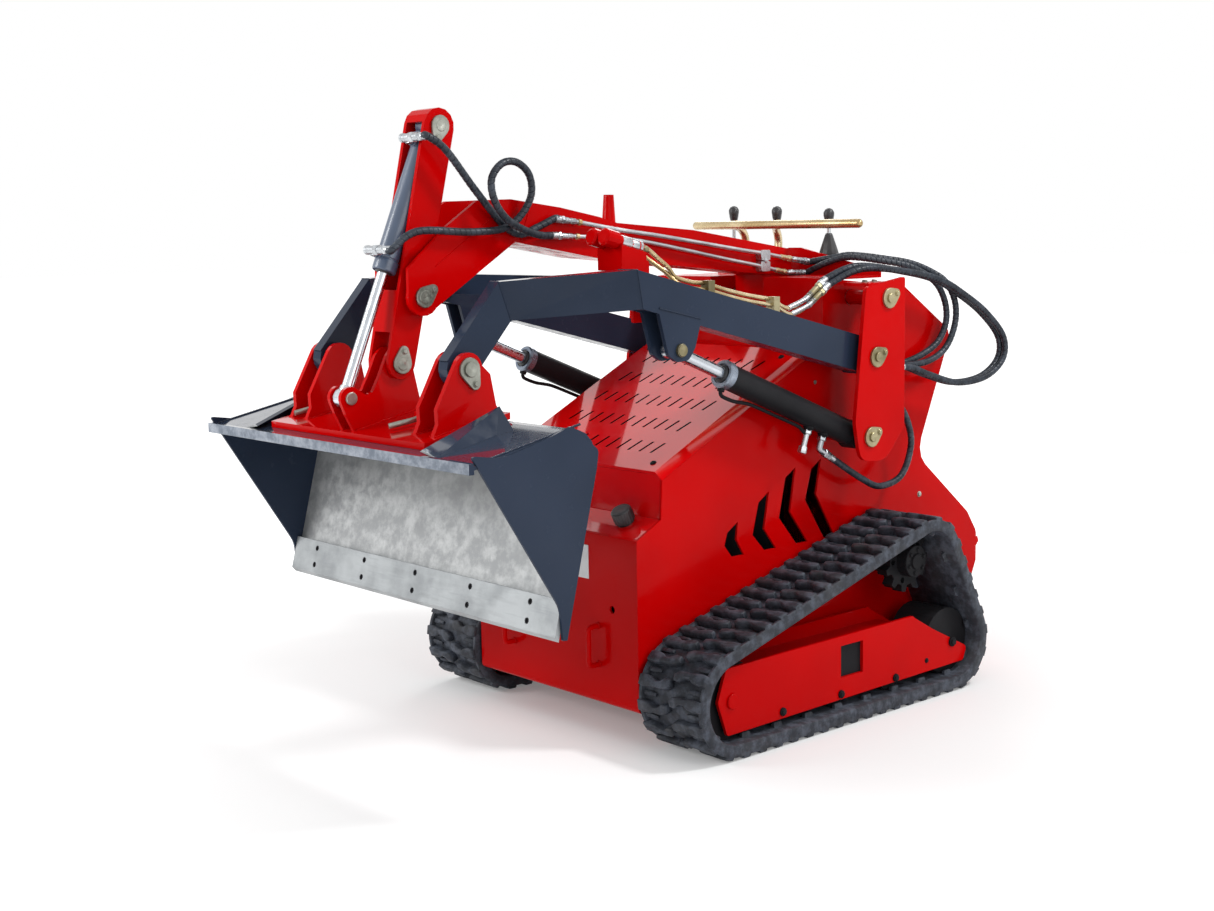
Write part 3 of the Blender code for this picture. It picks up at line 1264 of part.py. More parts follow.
def pipe_end(route, x, last):
    """End of a boom or arm pipe and the direction in which it points outwards."""
    (y0, z0), (y1, z1) = (route[-2], route[-1]) if last else (route[1], route[0])
    return (x, y1, z1), (0.0, y1 - y0, z1 - z0)


def hoses():
    """Hoses from the bulkhead to arms and boom, and from the boom to the tilt cylinder."""
    back = (0.0, 1.0, 0.0)
    for i, (x, drop) in enumerate(ARM_PIPES):
        (_, y, z), heading = pipe_end(ARM_PIPE_ROUTE, x, True)
        end = BULKHEAD_X[2 + i]
        route = lead((x, y, z - drop), heading)
        route += [(end - inward, py, pz - share * drop)
                  for inward, py, pz, share in ARM_HOSE_ROUTE]
        route += lead((end, BULKHEAD_Y, BULKHEAD_Z), back)[::-1]
        hose("arm_hose_{}".format(i + 1), "chassis", route)
    for i, (pipe_route, middle) in enumerate(zip((BOOM_PIPE_UPPER, BOOM_PIPE_LOWER),
                                                 BOOM_HOSE_ROUTES)):
        route = lead(*pipe_end(pipe_route, BOOM_PIPE_X, True)) + list(middle)
        route += lead((BULKHEAD_X[1 - i], BULKHEAD_Y, BULKHEAD_Z), back)[::-1]
        hose("boom_hose_{}".format(i + 1), "chassis", route)
    for name, s, middle, pipe_route in (
            ("tilt_hose_upper", TILT_PORTS[0], TILT_HOSE_UPPER, BOOM_PIPE_UPPER),
            ("tilt_hose_lower", TILT_PORTS[1], TILT_HOSE_LOWER, BOOM_PIPE_LOWER)):
        port = tilt_port(s)
        route = lead((PORT_END_X, port.y, port.z), (1.0, 0.0, 0.0)) + list(middle)
        route += lead(*pipe_end(pipe_route, BOOM_PIPE_X, False))[::-1]
        hose(name, "mast", route)
    for side, sign in (("left", 1.0), ("right", -1.0)):
        elbow, tip = lift_elbow()
        route = lead(tip, tip - elbow) + list(LIFT_HOSE_ROUTE)
        route += lead((CHASSIS_HALF, *LIFT_HOSE_END), (1.0, 0.0, 0.0))[::-1]
        hose("lift_hose_" + side, "lift_barrel_" + side, [(sign * p[0], p[1], p[2]) for p in route])


def build():
    clear_scene()
    make_bodies()
    chassis_tub()
    nose_panel()
    bonnet()
    console()
    rear_cover()
    rear_step()
    engine_block()
    filler_cap()
    handle_bar()
    control_levers()
    tow_loops()
    blank_label()
    boom_pivot_shaft()
    for side in ("left", "right"):
        post(side)
        track(side)
        track_frame(side)
        idler("front_idler", TRACK_WHEELS[0], side)
        idler("rear_idler", TRACK_WHEELS[1], side)
        rollers(side)
        sprocket(side)
        lift_cylinder(side)
    loader_arms()
    coupler_bracket()
    arm_pipes()
    boom()
    boom_pipes()
    mast()
    tilt_cylinder()
    quick_attach()
    for side, points in LOCK_HANDLES:
        lock_handle(side, points)
    bucket()
    cutting_edge()
    hoses()
    bpy.context.view_layer.update()


build()
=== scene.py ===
import math

import bpy
from mathutils import Matrix, Vector


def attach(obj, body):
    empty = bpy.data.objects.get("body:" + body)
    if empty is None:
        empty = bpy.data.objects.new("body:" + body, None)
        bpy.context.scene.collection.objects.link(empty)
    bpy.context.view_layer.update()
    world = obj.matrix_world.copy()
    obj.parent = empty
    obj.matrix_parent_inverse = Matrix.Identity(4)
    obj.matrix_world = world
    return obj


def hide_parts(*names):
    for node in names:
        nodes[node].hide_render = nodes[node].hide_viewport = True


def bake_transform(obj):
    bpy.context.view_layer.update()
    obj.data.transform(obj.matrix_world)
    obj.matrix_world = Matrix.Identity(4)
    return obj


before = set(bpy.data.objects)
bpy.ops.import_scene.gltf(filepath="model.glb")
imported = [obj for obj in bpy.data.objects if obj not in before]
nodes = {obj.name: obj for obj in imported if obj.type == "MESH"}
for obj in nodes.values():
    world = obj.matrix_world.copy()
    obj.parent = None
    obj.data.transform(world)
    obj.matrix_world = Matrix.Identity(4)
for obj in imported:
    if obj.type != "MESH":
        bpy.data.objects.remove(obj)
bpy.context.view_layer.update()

# Sizes repeated from the part's source: metres from the chassis front and the ground, +Y rearward.
# Side-view places are (y, z), and the track wheels are (y, z, radius).
SIDES = (1.0, -1.0)
ACROSS, REARWARD, UP = (1.0, 0.0, 0.0), (0.0, 1.0, 0.0), (0.0, 0.0, 1.0)
MID_LENGTH = 0.3495
ARM_PIVOT = (0.672, 0.843)
BOOM_PIVOT = (0.717, 0.981)
TOOL_PIN = (-0.433, 0.885)
MAST_PIN = (-0.388, 1.023)
MAST_TOP_PIN = (-0.316, 1.381)
EAR_PIN = (-0.554, 0.8195)
LIFT_BASE_PIN = (0.653, 0.653)
LIFT_ROD_PIN = (0.052, 0.897)
TRACK_WHEELS = ((0.108, 0.128, 0.128), (0.89, 0.12, 0.12), (0.785, 0.335, 0.117))
FRONT_HUB, REAR_HUB, DRIVE_HUB = (wheel[:2] for wheel in TRACK_WHEELS)
ROLLERS = ((0.27, 0.0703), (0.47, 0.0703), (0.67, 0.0703))
TRACK_IN, TRACK_OUT = 0.3, 0.5
LUG_HEIGHT, BELT, TREAD_PITCH = 0.018, 0.018, 0.052
LIFT_X, LIFT_BARREL, TILT_BARREL = 0.3525, 0.483, 0.33
TILT_PORTS, PORT_REACH, PORT_END_X = (0.045, 0.298), 0.044, 0.048
LIFT_PORTS = ((0.16, 0.092), (0.105, 0.066))
CHASSIS_HALF, BOOM_HALF, MAST_HALF = 0.289, 0.063, 0.038
PIPE_R, HOSE_R, HOSE_GAP = 0.005, 0.0072, 0.0006
COUPLER_X, COUPLER_END = (0.3015, 0.262), (0.0125, 1.117)
COUPLER_HEADING = (0.0, -0.9706, 0.2407)
ARM_PIPES = ((0.3015, 0.0), (0.3105, 0.014))
ARM_PIPE_ROUTE = ((0.0128, 1.1168), (0.037, 1.111), (0.064, 1.093), (0.096, 1.071), (0.117, 1.05),
    (0.163, 1.038), (0.209, 1.032), (0.273, 1.016), (0.338, 1.002), (0.421, 0.987), (0.482, 0.965),
    (0.545, 0.985), (0.592, 1.015))
ARM_CLAMPS = ((0.209, 1.032), (0.421, 0.987))
BOOM_PIPE_X = 0.0765
BOOM_PIPE_UPPER = ((-0.0116, 1.179), (0.03, 1.174), (0.159, 1.154), (0.285, 1.138), (0.417, 1.119),
    (0.555, 1.099), (0.645, 1.087), (0.737, 1.072), (0.78, 1.066))
BOOM_PIPE_LOWER = ((-0.021, 1.144), (0.022, 1.142), (0.097, 1.138), (0.205, 1.13), (0.35, 1.106),
    (0.485, 1.081), (0.626, 1.057), (0.718, 1.039), (0.765, 1.036))
BULKHEAD_X, BULKHEAD_Y, BULKHEAD_Z = (0.312, 0.329, 0.346, 0.363), 0.806, 0.806
# Inward from the bulkhead, y, z and the share of the pipe's drop
ARM_HOSE_ROUTE = ((0.018, 0.699, 1.057, 0.5), (0.004, 0.859, 1.038, 0.0), (0.0, 0.981, 1.013, 0.0),
    (0.0, 1.073, 0.975, 0.0), (0.0, 1.168, 0.924, 0.0), (0.0, 1.245, 0.858, 0.0),
    (0.0, 1.246, 0.799, 0.0), (0.0, 1.172, 0.757, 0.0), (0.0, 1.053, 0.75, 0.0), (0.0, 0.939, 0.778, 0.0),
    (0.0, 0.872, 0.8, 0.0))
BOOM_HOSE_ROUTES = (((0.15, 0.822, 1.074), (0.185, 0.848, 1.079), (0.235, 0.92, 1.068),
    (0.272, 0.976, 1.055), (0.3, 1.026, 1.031), (0.322, 1.055, 1.004), (0.329, 1.083, 0.953),
    (0.329, 1.083, 0.895), (0.329, 1.045, 0.838), (0.329, 0.975, 0.809), (0.329, 0.89, 0.804)),
    ((0.14, 0.8, 1.06), (0.19, 0.828, 1.074), (0.245, 0.902, 1.062), (0.28, 0.958, 1.048),
    (0.303, 1.004, 1.022), (0.314, 1.036, 0.992), (0.314, 1.064, 0.945), (0.314, 1.064, 0.897),
    (0.314, 1.03, 0.852), (0.312, 0.968, 0.824), (0.312, 0.89, 0.808)))
TILT_HOSE_UPPER = ((0.078, -0.33, 1.328), (0.08, -0.258, 1.245), (0.0725, -0.18, 1.172),
    (0.0725, -0.132, 1.15), (0.074, -0.085, 1.164))
TILT_HOSE_LOWER = ((0.078, -0.435, 1.152), (0.082, -0.39, 1.162), (0.086, -0.28, 1.157),
    (0.088, -0.19, 1.163), (0.088, -0.141, 1.191), (0.09, -0.113, 1.235), (0.094, -0.122, 1.279),
    (0.099, -0.16, 1.304), (0.103, -0.203, 1.3), (0.106, -0.233, 1.268), (0.108, -0.229, 1.224),
    (0.108, -0.199, 1.185), (0.104, -0.149, 1.16), (0.088, -0.09, 1.147))
LIFT_HOSE_ROUTE = ((0.35, 0.69, 0.542), (0.346, 0.766, 0.514), (0.345, 0.85, 0.532),
    (0.345, 0.887, 0.606), (0.343, 0.87, 0.674), (0.334, 0.836, 0.722))
LIFT_HOSE_END = (0.812, 0.742)
BAR_X, BAR_Y, BAR_Z, BAR_R = (-0.31, 0.278), 0.775, 1.1585, 0.0112
BAR_LEGS, LEG_Y = ((-0.155, -0.194), (-0.001, -0.074)), 0.8545
LEVER_Y = 0.873
LEVERS = ((-0.2545, 1.21, False), (-0.0957, 1.207, False), (0.0858, 1.198, True))
BONNET_FOOT, BONNET_RUN = (0.08, 0.619), (0.8956, 0.4448)
CAP_PLACE, CAP_UP = (0.2, 0.05, 0.5), (0.0, -0.461, 0.887)
BUCKET_LIP = (-0.598, 0.7275)
BUCKET_HEEL = (-0.2724, 0.7926)
BUCKET_FOOT = (-0.374, 0.41)
BACK_SLOPE, BED = 0.2, 0.014
LOCK_HANDLES = (("left", ((0.14, -0.4676, 0.012), (0.14, -0.482, 0.012), (0.12, -0.526, 0.011))),
    ("right", ((-0.237, -0.4676, 0.012), (-0.237, -0.482, 0.012), (-0.249, -0.526, 0.011))))


# Materials

class Nodes:
    """Short calls for the nodes of one tree."""

    def __init__(self, tree):
        self.tree = tree

    def node(self, kind, inputs=None, **settings):
        made = self.tree.nodes.new("ShaderNode" + kind)
        for key, value in settings.items():
            setattr(made, key, value)
        for key, value in (inputs or {}).items():
            self.feed(made.inputs[key], value)
        return made

    def feed(self, socket, source):
        if hasattr(source, "is_output"):
            self.tree.links.new(source, socket)
        else:
            socket.default_value = source

    def remap(self, source, low, high, to_low, to_high):
        made = self.node("MapRange", {"Value": source, "From Min": low, "From Max": high,
            "To Min": to_low, "To Max": to_high}, interpolation_type="SMOOTHSTEP")
        return made.outputs["Result"]

    def math(self, operation, first, second=0.0):
        return self.node("Math", {0: first, 1: second}, operation=operation).outputs["Value"]

    def seen_ray(self):
        """One for camera, glossy and transmission rays, and nought for the rest."""
        path = self.node("LightPath")
        total = path.outputs["Is Camera Ray"]
        for name in ("Is Glossy Ray", "Is Transmission Ray"):
            total = self.math("MAXIMUM", total, path.outputs[name])
        return total


class Look(Nodes):
    """One procedural material."""

    def __init__(self, name, colour, roughness, metallic=0.0, coat=0.0, coat_roughness=0.08):
        self.material = bpy.data.materials.new(name)
        self.material.use_nodes = True
        super().__init__(self.material.node_tree)
        self.shader = self.tree.nodes["Principled BSDF"]
        self.put("Base Color", (*colour, 1.0))
        self.put("Roughness", roughness)
        self.put("Metallic", metallic)
        self.put("Coat Weight", coat)
        self.put("Coat Roughness", coat_roughness)
        self.coords = self.tree.nodes.new("ShaderNodeTexCoord")
        self.height = None

    def put(self, socket, value):
        self.shader.inputs[socket].default_value = value

    def place(self, stretch=(1.0, 1.0, 1.0)):
        mapping = self.node("Mapping", {"Vector": self.coords.outputs["Object"], "Scale": stretch})
        return mapping.outputs["Vector"]

    def axis(self, output, letter):
        """One coordinate of the surface's place or of its facing."""
        return self.node("SeparateXYZ", {0: self.coords.outputs[output]}).outputs[letter]

    def facing(self, heading):
        """Cosine of the angle between the surface's facing and a heading."""
        inputs = {0: self.coords.outputs["Normal"], 1: heading}
        return self.node("VectorMath", inputs, operation="DOT_PRODUCT").outputs["Value"]

    def noise(self, scale, detail=3.0, stretch=(1.0, 1.0, 1.0), roughness=0.55):
        made = self.node("TexNoise", {"Vector": self.place(stretch), "Scale": scale, "Detail": detail,
            "Roughness": roughness})
        return made.outputs["Fac"]

    def mix(self, factor, first, second):
        made = self.node("Mix", {"Factor": factor}, data_type="RGBA")
        for key, value in (("A", first), ("B", second)):
            socket = [s for s in made.inputs if s.name == key and s.type == "RGBA"][0]
            self.feed(socket, value if hasattr(value, "is_output") else (*value, 1.0))
        return [s for s in made.outputs if s.type == "RGBA"][0]

    def bump(self, source, strength, distance):
        made = self.node("Bump", {"Strength": strength, "Distance": distance, "Height": source})
        if self.height is not None:
            self.feed(made.inputs["Normal"], self.height)
        self.height = made.outputs["Normal"]
        self.feed(self.shader.inputs["Normal"], self.height)

    def round_edges(self, radius):
        """Light catches sharp edges as if they were rounded by radius."""
        self.height = self.node("Bevel", {"Radius": radius}, samples=4).outputs["Normal"]

    def colour(self, source):
        self.feed(self.shader.inputs["Base Color"], source)

    def rough(self, source):
        self.feed(self.shader.inputs["Roughness"], source)


def gloss_paint(name, colour, faded, dust, roughness, specular=0.04, coat=0.01):
    """Sprayed gloss paint: slow colour drift, a little dust, sheet waviness and orange peel."""
    look = Look(name, colour, roughness, coat=coat, coat_roughness=0.05)
    look.put("Specular IOR Level", specular)
    look.round_edges(0.0014)
    drift = look.remap(look.noise(2.6, 2.0), 0.35, 0.65, 0.0, 1.0)
    specks = look.remap(look.noise(210.0, 5.0), 0.6, 0.76, 0.0, 0.12)
    film = look.remap(look.noise(7.0, 6.0), 0.5, 0.72, 0.0, 0.02)
    base = look.mix(drift, colour, faded)
    look.colour(look.mix(look.math("ADD", specks, film), base, dust))
    look.rough(look.remap(look.noise(30.0, 4.0), 0.3, 0.7, roughness - 0.06, roughness + 0.1))
    look.bump(look.noise(11.0, 1.0), 0.1, 0.006)
    look.bump(look.noise(620.0, 2.0), 0.05, 0.0006)
    return look


def bare_metal(name, dark, light, roughness, grain, stretch, metallic):
    """Bare or plated metal: cloudy colour, drawn grain and small scratches."""
    look = Look(name, dark, roughness, metallic)
    clouds = look.remap(look.noise(9.0, 5.0), 0.35, 0.68, 0.0, 1.0)
    scratch = look.noise(grain, 3.0, stretch)
    base = look.mix(clouds, dark, light)
    look.colour(look.mix(look.remap(scratch, 0.55, 0.72, 0.0, 0.35), base, dark))
    look.rough(look.remap(scratch, 0.3, 0.7, roughness - 0.08, roughness + 0.14))
    look.bump(scratch, 0.12, 0.0006)
    return look


def shiny_red(name):
    """The red sheets that lie under the sky have a thick clear gloss; their base red is a lighter copy of
    the red, as painted light.
    """
    look = gloss_paint(name, RED_PAINTED_LIGHTER, RED, RED_DUST, PAINT_ROUGH, coat=1.0)
    look.put("Coat IOR", 1.75)
    return look


def shine_upward(look):
    """A clear gloss on the faces that look up."""
    look.put("Coat IOR", 1.9)
    gloss = look.remap(look.axis("Normal", "Z"), 0.6, 0.85, 0.04, 1.0)
    look.feed(look.shader.inputs["Coat Weight"], gloss)
    return look


def slate_look(name):
    return shine_upward(gloss_paint(name, SLATE, SLATE_LIGHT, SLATE_DUST, 0.18, 0.08))


def lay_over(look, mask, colour):
    """Lay another colour over the look where the mask is one."""
    paint = look.shader.inputs["Base Color"].links[0].from_socket
    look.colour(look.mix(mask, paint, colour))


def inside_box(look, low, high):
    """One inside a box in machine coordinates, and nought outside."""
    total = 1.0
    for axis, shift, least, most in zip("XYZ", (0.0, MID_LENGTH, 0.0), low, high):
        place = look.axis("Object", axis)
        above = look.math("GREATER_THAN", place, least - shift)
        below = look.math("LESS_THAN", place, most - shift)
        total = look.math("MULTIPLY", look.math("MULTIPLY", above, below), total)
    return total


def bonnet_look():
    """Shiny red outside; the walls of the slots are painted near-black as painted shade."""
    look = shiny_red("bonnet_look")
    turned = look.math("LESS_THAN", look.facing((0.0, -BONNET_RUN[1], BONNET_RUN[0])), 0.9)
    slots = inside_box(look, (-0.25, 0.1, 0.0), (0.25, 0.55, 1.0))
    # The slot walls get the painted shade.
    lay_over(look, look.math("MULTIPLY", turned, slots), PAINTED_SHADE_INSIDE)
    return look


def tub_look():
    """Red outside; the inside is painted near-black as painted shade."""
    look = gloss_paint("tub_look", *RED_PAINT)
    # The faces inside the chassis get the painted shade.
    lay_over(look, inside_box(look, (-0.2834, 0.0075, 0.083), (0.2834, 1.1, 0.85)), PAINTED_SHADE_INSIDE)
    return look


RED, RED_FADED, RED_DUST = (0.56, 0.0006, 0.001), (0.475, 0.0005, 0.0009), (0.42, 0.016, 0.012)
# A lighter copy of the red for the bonnet and nose panel: painted light.
RED_PAINTED_LIGHTER = (0.74, 0.001, 0.0018)
SLATE, SLATE_LIGHT, SLATE_DUST = (0.017, 0.027, 0.05), (0.024, 0.036, 0.064), (0.09, 0.092, 0.096)
# Near-black for the chassis inside and the bonnet's slot walls: painted shade.
PAINTED_SHADE_INSIDE = (0.006, 0.002, 0.002)
PAINT_ROUGH = 0.15
RED_PAINT = (RED, RED_FADED, RED_DUST, PAINT_ROUGH)
looks = {
    "red_paint": gloss_paint("red_paint_look", *RED_PAINT),
    "shiny_red": shiny_red("shiny_red_look"),
    "plate_red": shine_upward(gloss_paint("plate_red_look", *RED_PAINT)),
    "bonnet": bonnet_look(),
    "tub": tub_look(),
    "slate_paint": slate_look("slate_paint_look"),
    "black_paint": gloss_paint("black_paint_look", (0.011, 0.011, 0.013), (0.017, 0.017, 0.019),
        (0.07, 0.066, 0.06), 0.36),
}
EVEN = (1.0, 1.0, 1.0)
# Each metal's dark and light colours, roughness, grain, stretch of the grain and metalness
METALS = (
    ("bare_steel", (0.36, 0.37, 0.39), (0.56, 0.57, 0.59), 0.34, 160.0, (1.0, 0.12, 1.0), 0.85),
    ("edge_steel", (0.25, 0.265, 0.275), (0.4, 0.42, 0.43), 0.42, 120.0, (0.1, 1.0, 1.0), 0.45),
    ("zinc", (0.2, 0.205, 0.175), (0.46, 0.47, 0.42), 0.36, 210.0, EVEN, 0.85),
    ("olive", (0.16, 0.135, 0.07), (0.4, 0.355, 0.215), 0.36, 210.0, EVEN, 0.85),
    ("brass", (0.4, 0.285, 0.135), (0.68, 0.57, 0.36), 0.28, 210.0, EVEN, 0.85),
    ("gland", (0.16, 0.19, 0.24), (0.3, 0.34, 0.4), 0.32, 180.0, EVEN, 0.75),
    ("silver", (0.3, 0.32, 0.34), (0.52, 0.54, 0.56), 0.3, 260.0, EVEN, 0.95),
    ("chrome", (0.5, 0.53, 0.57), (0.62, 0.65, 0.69), 0.2, 90.0, EVEN, 1.0),
)
for name, *settings in METALS:
    looks[name] = bare_metal(name + "_look", *settings)


def bucket_look():
    """Slate paint outside; the inner faces are bare grey steel with mill scale, and the lip's front face
    is worn steel painted lighter and bluer as a painted reflection of the sky.
    """
    look = slate_look("bucket_look")
    paint = look.shader.inputs["Base Color"].links[0].from_socket
    paint_rough = look.shader.inputs["Roughness"].links[0].from_socket
    foot, heel = Vector(BUCKET_FOOT), Vector(BUCKET_HEEL)
    run = (heel - foot).normalized()
    back = Vector((1.0, BACK_SLOPE)).normalized()
    facing = None
    for normal in ((0.0, -run.y, run.x), (0.0, back.y, -back.x)):
        turned = look.remap(look.facing(normal), 0.9, 0.94, 0.0, 1.0)
        facing = turned if facing is None else look.math("MAXIMUM", facing, turned)
    across = look.remap(look.math("ABSOLUTE", look.axis("Object", "X")), 0.4935, 0.494, 1.0, 0.0)
    inside = look.remap(look.axis("Object", "Y"), -0.593 - MID_LENGTH, -0.592 - MID_LENGTH, 0.0, 1.0)
    mask = look.math("MULTIPLY", look.math("MULTIPLY", facing, across), inside)
    mottle = look.remap(look.noise(26.0, 8.0, roughness=0.7), 0.38, 0.66, 0.0, 1.0)
    steel = look.mix(mottle, (0.34, 0.35, 0.355), (0.5, 0.51, 0.51))
    stain = look.remap(look.noise(5.0, 5.0), 0.52, 0.7, 0.0, 0.45)
    steel = look.mix(stain, steel, (0.25, 0.253, 0.257))
    look.colour(look.mix(mask, paint, steel))
    steel_rough = look.remap(mottle, 0.0, 1.0, 0.34, 0.5)
    blend = look.node("Mix", {"Factor": mask, "A": paint_rough, "B": steel_rough}, data_type="FLOAT")
    look.rough(blend.outputs["Result"])
    look.feed(look.shader.inputs["Metallic"], look.math("MULTIPLY", mask, 0.35))
    look.bump(look.noise(70.0, 6.0), 0.1, 0.001)
    # The lip's front face: worn bare steel, lighter and bluer as a painted sky reflection.
    worn_and_sky_reflection = look.mix(mottle, (0.15, 0.175, 0.215), (0.33, 0.36, 0.41))
    lay_over(look, inside_box(look, (-0.498, -0.62, 0.7), (0.498, -0.6055, 0.74)), worn_and_sky_reflection)
    return look


def rubber_look(name, dark, light, roughness, dust):
    look = Look(name, dark, roughness)
    look.put("Specular IOR Level", 0.35)
    clouds = look.remap(look.noise(34.0, 8.0, roughness=0.65), 0.4, 0.68, 0.0, 1.0)
    powder = look.remap(look.noise(8.0, 6.0), 0.48, 0.7, 0.0, dust)
    base = look.mix(clouds, dark, light)
    look.colour(look.mix(powder, base, (0.1, 0.094, 0.084)))
    look.rough(look.remap(look.noise(60.0, 4.0), 0.3, 0.7, roughness - 0.1, roughness + 0.1))
    look.bump(look.noise(150.0, 6.0), 0.35, 0.0012)
    return look


def plastic_look(name, colour, lighter, roughness):
    look = Look(name, colour, roughness)
    look.colour(look.mix(look.remap(look.noise(45.0, 4.0), 0.35, 0.7, 0.0, 1.0), colour, lighter))
    look.rough(look.remap(look.noise(18.0, 3.0), 0.3, 0.7, roughness - 0.08, roughness + 0.08))
    look.bump(look.noise(900.0, 2.0), 0.1, 0.0004)
    return look


looks["bucket"] = bucket_look()
looks["rubber"] = rubber_look("rubber_look", (0.018, 0.021, 0.029), (0.07, 0.081, 0.106), 0.62, 0.16)
looks["hose"] = rubber_look("hose_look", (0.015, 0.02, 0.029), (0.046, 0.057, 0.076), 0.4, 0.06)
looks["black_plastic"] = plastic_look("black_plastic_look", (0.012, 0.012, 0.014), (0.024, 0.024, 0.027),
    0.4)
looks["label_white"] = plastic_look("label_look", (0.7, 0.71, 0.72), (0.76, 0.77, 0.78), 0.4)
looks["tilt_paint"] = gloss_paint("tilt_paint_look", (0.04, 0.064, 0.115), (0.052, 0.082, 0.14),
    (0.12, 0.13, 0.15), 0.36, 0.7, 0.35)

for name, node in nodes.items():
    own = node.material_slots[0].material.name.split(".")[0]
    own = {"bucket": "bucket", "cutting_edge": "edge_steel", "handle_bar": "brass", "arm_pipes": "brass",
        "bonnet": "bonnet", "chassis_tub": "tub", "nose_panel": "shiny_red",
        "quick_attach": "plate_red"}.get(name, own)
    for place in node.material_slots:
        place.material = looks[own].material


# Shapes, in machine coordinates

def spin(sides, turn=0.0):
    """Cosine and sine at even steps round a circle."""
    angles = [turn + 2.0 * math.pi * k / sides for k in range(sides)]
    return [(math.cos(a), math.sin(a)) for a in angles]


class Shape:
    """Vertices and faces gathered for one piece."""

    def __init__(self):
        self.verts = []
        self.faces = []

    def rings(self, rings, closed=False):
        base = len(self.verts)
        count = len(rings[0])
        for ring in rings:
            self.verts += [Vector(p) for p in ring]
        steps = len(rings) if closed else len(rings) - 1
        for i in range(steps):
            low, high = base + i * count, base + ((i + 1) % len(rings)) * count
            for k in range(count):
                j = (k + 1) % count
                self.faces.append((low + k, low + j, high + j, high + k))
        if not closed:
            self.faces.append(tuple(base + k for k in range(count))[::-1])
            self.faces.append(tuple(base + (len(rings) - 1) * count + k for k in range(count)))
        return self

    def lathe(self, profile, start, heading, sides=32, turn=0.0):
        """Rings (distance along heading, radius), with flat caps at both ends."""
        rotation = Vector(heading).to_track_quat("Z", "Y").to_matrix()
        start = Vector(start)
        steps = spin(sides, turn)
        return self.rings([[start + rotation @ Vector((r * cos, r * sin, s)) for cos, sin in steps]
            for s, r in profile])

    def prism(self, outline, x0, x1, edge=0.0):
        """Side-view outline pulled from x0 to x1, its outer rim chamfered by edge."""
        middle = Vector((sum(p[0] for p in outline), sum(p[1] for p in outline))) / len(outline)
        sign = 1.0 if x1 > x0 else -1.0
        rings = [[(x0, y, z) for y, z in outline]]
        if edge > 0.0:
            rings.append([(x1 - sign * edge, y, z) for y, z in outline])
            small = []
            for y, z in outline:
                out = Vector((y, z)) - middle
                out -= out.normalized() * edge
                small.append((x1, middle.x + out.x, middle.y + out.y))
            rings.append(small)
        else:
            rings.append([(x1, y, z) for y, z in outline])
        return self.rings(rings)

    def tube(self, points, radius, sides=16):
        return self.rings([[place + radius * (cos * side + sin * other) for cos, sin in spin(sides)]
            for place, (side, other) in zip(*carried(points))])

    def bar(self, points, spacing, radius, sides=16):
        """Round bar bent smoothly through the points."""
        return self.tube(smooth_route(points, spacing), radius, sides)

    def flip(self):
        """Swap left and right."""
        self.verts = [Vector((-p.x, p.y, p.z)) for p in self.verts]
        self.faces = [face[::-1] for face in self.faces]

    def make(self, name, look, slot, body=None, stands_for=(), angle=34.0):
        mesh = bpy.data.meshes.new(name)
        mesh.from_pydata([(p.x, p.y - MID_LENGTH, p.z) for p in self.verts], [], self.faces)
        mesh.validate()
        mesh.shade_smooth()
        mesh.set_sharp_from_angle(angle=math.radians(angle))
        mesh.materials.append(looks[look].material)
        item = bpy.data.objects.new(name, mesh)
        bpy.context.scene.collection.objects.link(item)
        if body:
            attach(item, body)
        if stands_for:
            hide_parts(*stands_for)
        return item


def smooth_route(points, spacing):
    """Points about spacing apart on a smooth curve through the route's own points."""
    points = [Vector(p) for p in points]
    padded = [points[0] * 2 - points[1]] + points + [points[-1] * 2 - points[-2]]
    route = [points[0]]
    for i in range(1, len(padded) - 2):
        a, b, c, d = padded[i - 1:i + 3]
        steps = max(1, round((c - b).length / spacing))
        for k in range(1, steps + 1):
            t = k / steps
            route.append(0.5 * ((2 * b) + (c - a) * t + (2 * a - 5 * b + 4 * c - d) * t * t
                                + (3 * b - a - 3 * c + d) * t * t * t))
    return route


def carried(points):
    """The route's places and the pair of cross directions carried along it without twist."""
    places = [Vector(p) for p in points]
    frames = []
    side = None
    for i, place in enumerate(places):
        before = places[max(0, i - 1)]
        after = places[min(len(places) - 1, i + 1)]
        heading = (after - before).normalized()
        side = heading.orthogonal() if side is None else side - heading * side.dot(heading)
        side = side.normalized()
        frames.append((side, heading.cross(side)))
    return places, frames


def arc(centre, radius, start, end, steps):
    points = []
    for i in range(steps + 1):
        a = math.radians(start + (end - start) * i / steps)
        points.append((centre[0] + radius * math.cos(a), centre[1] + radius * math.sin(a)))
    return points


def capsule(start, start_r, end, end_r, steps=10):
    """Outline round two circles, the form of a link between two pins."""
    dy, dz = end[0] - start[0], end[1] - start[1]
    heading = math.degrees(math.atan2(dz, dy))
    lean = math.degrees(math.asin((start_r - end_r) / math.hypot(dy, dz)))
    low = arc(start, start_r, heading + 90.0 - lean, heading + 270.0 + lean, steps)
    high = arc(end, end_r, heading - 90.0 + lean, heading + 90.0 - lean, steps)
    return low + high


def back_z(y):
    """Height of the bucket's outer back at y."""
    return BUCKET_LIP[1] + BACK_SLOPE * (y - BUCKET_LIP[0])


# Hoses under a spiral guard

GUARD_PITCH, GUARD_STEP, GUARD_SIDES = 0.013, 0.00175, 14


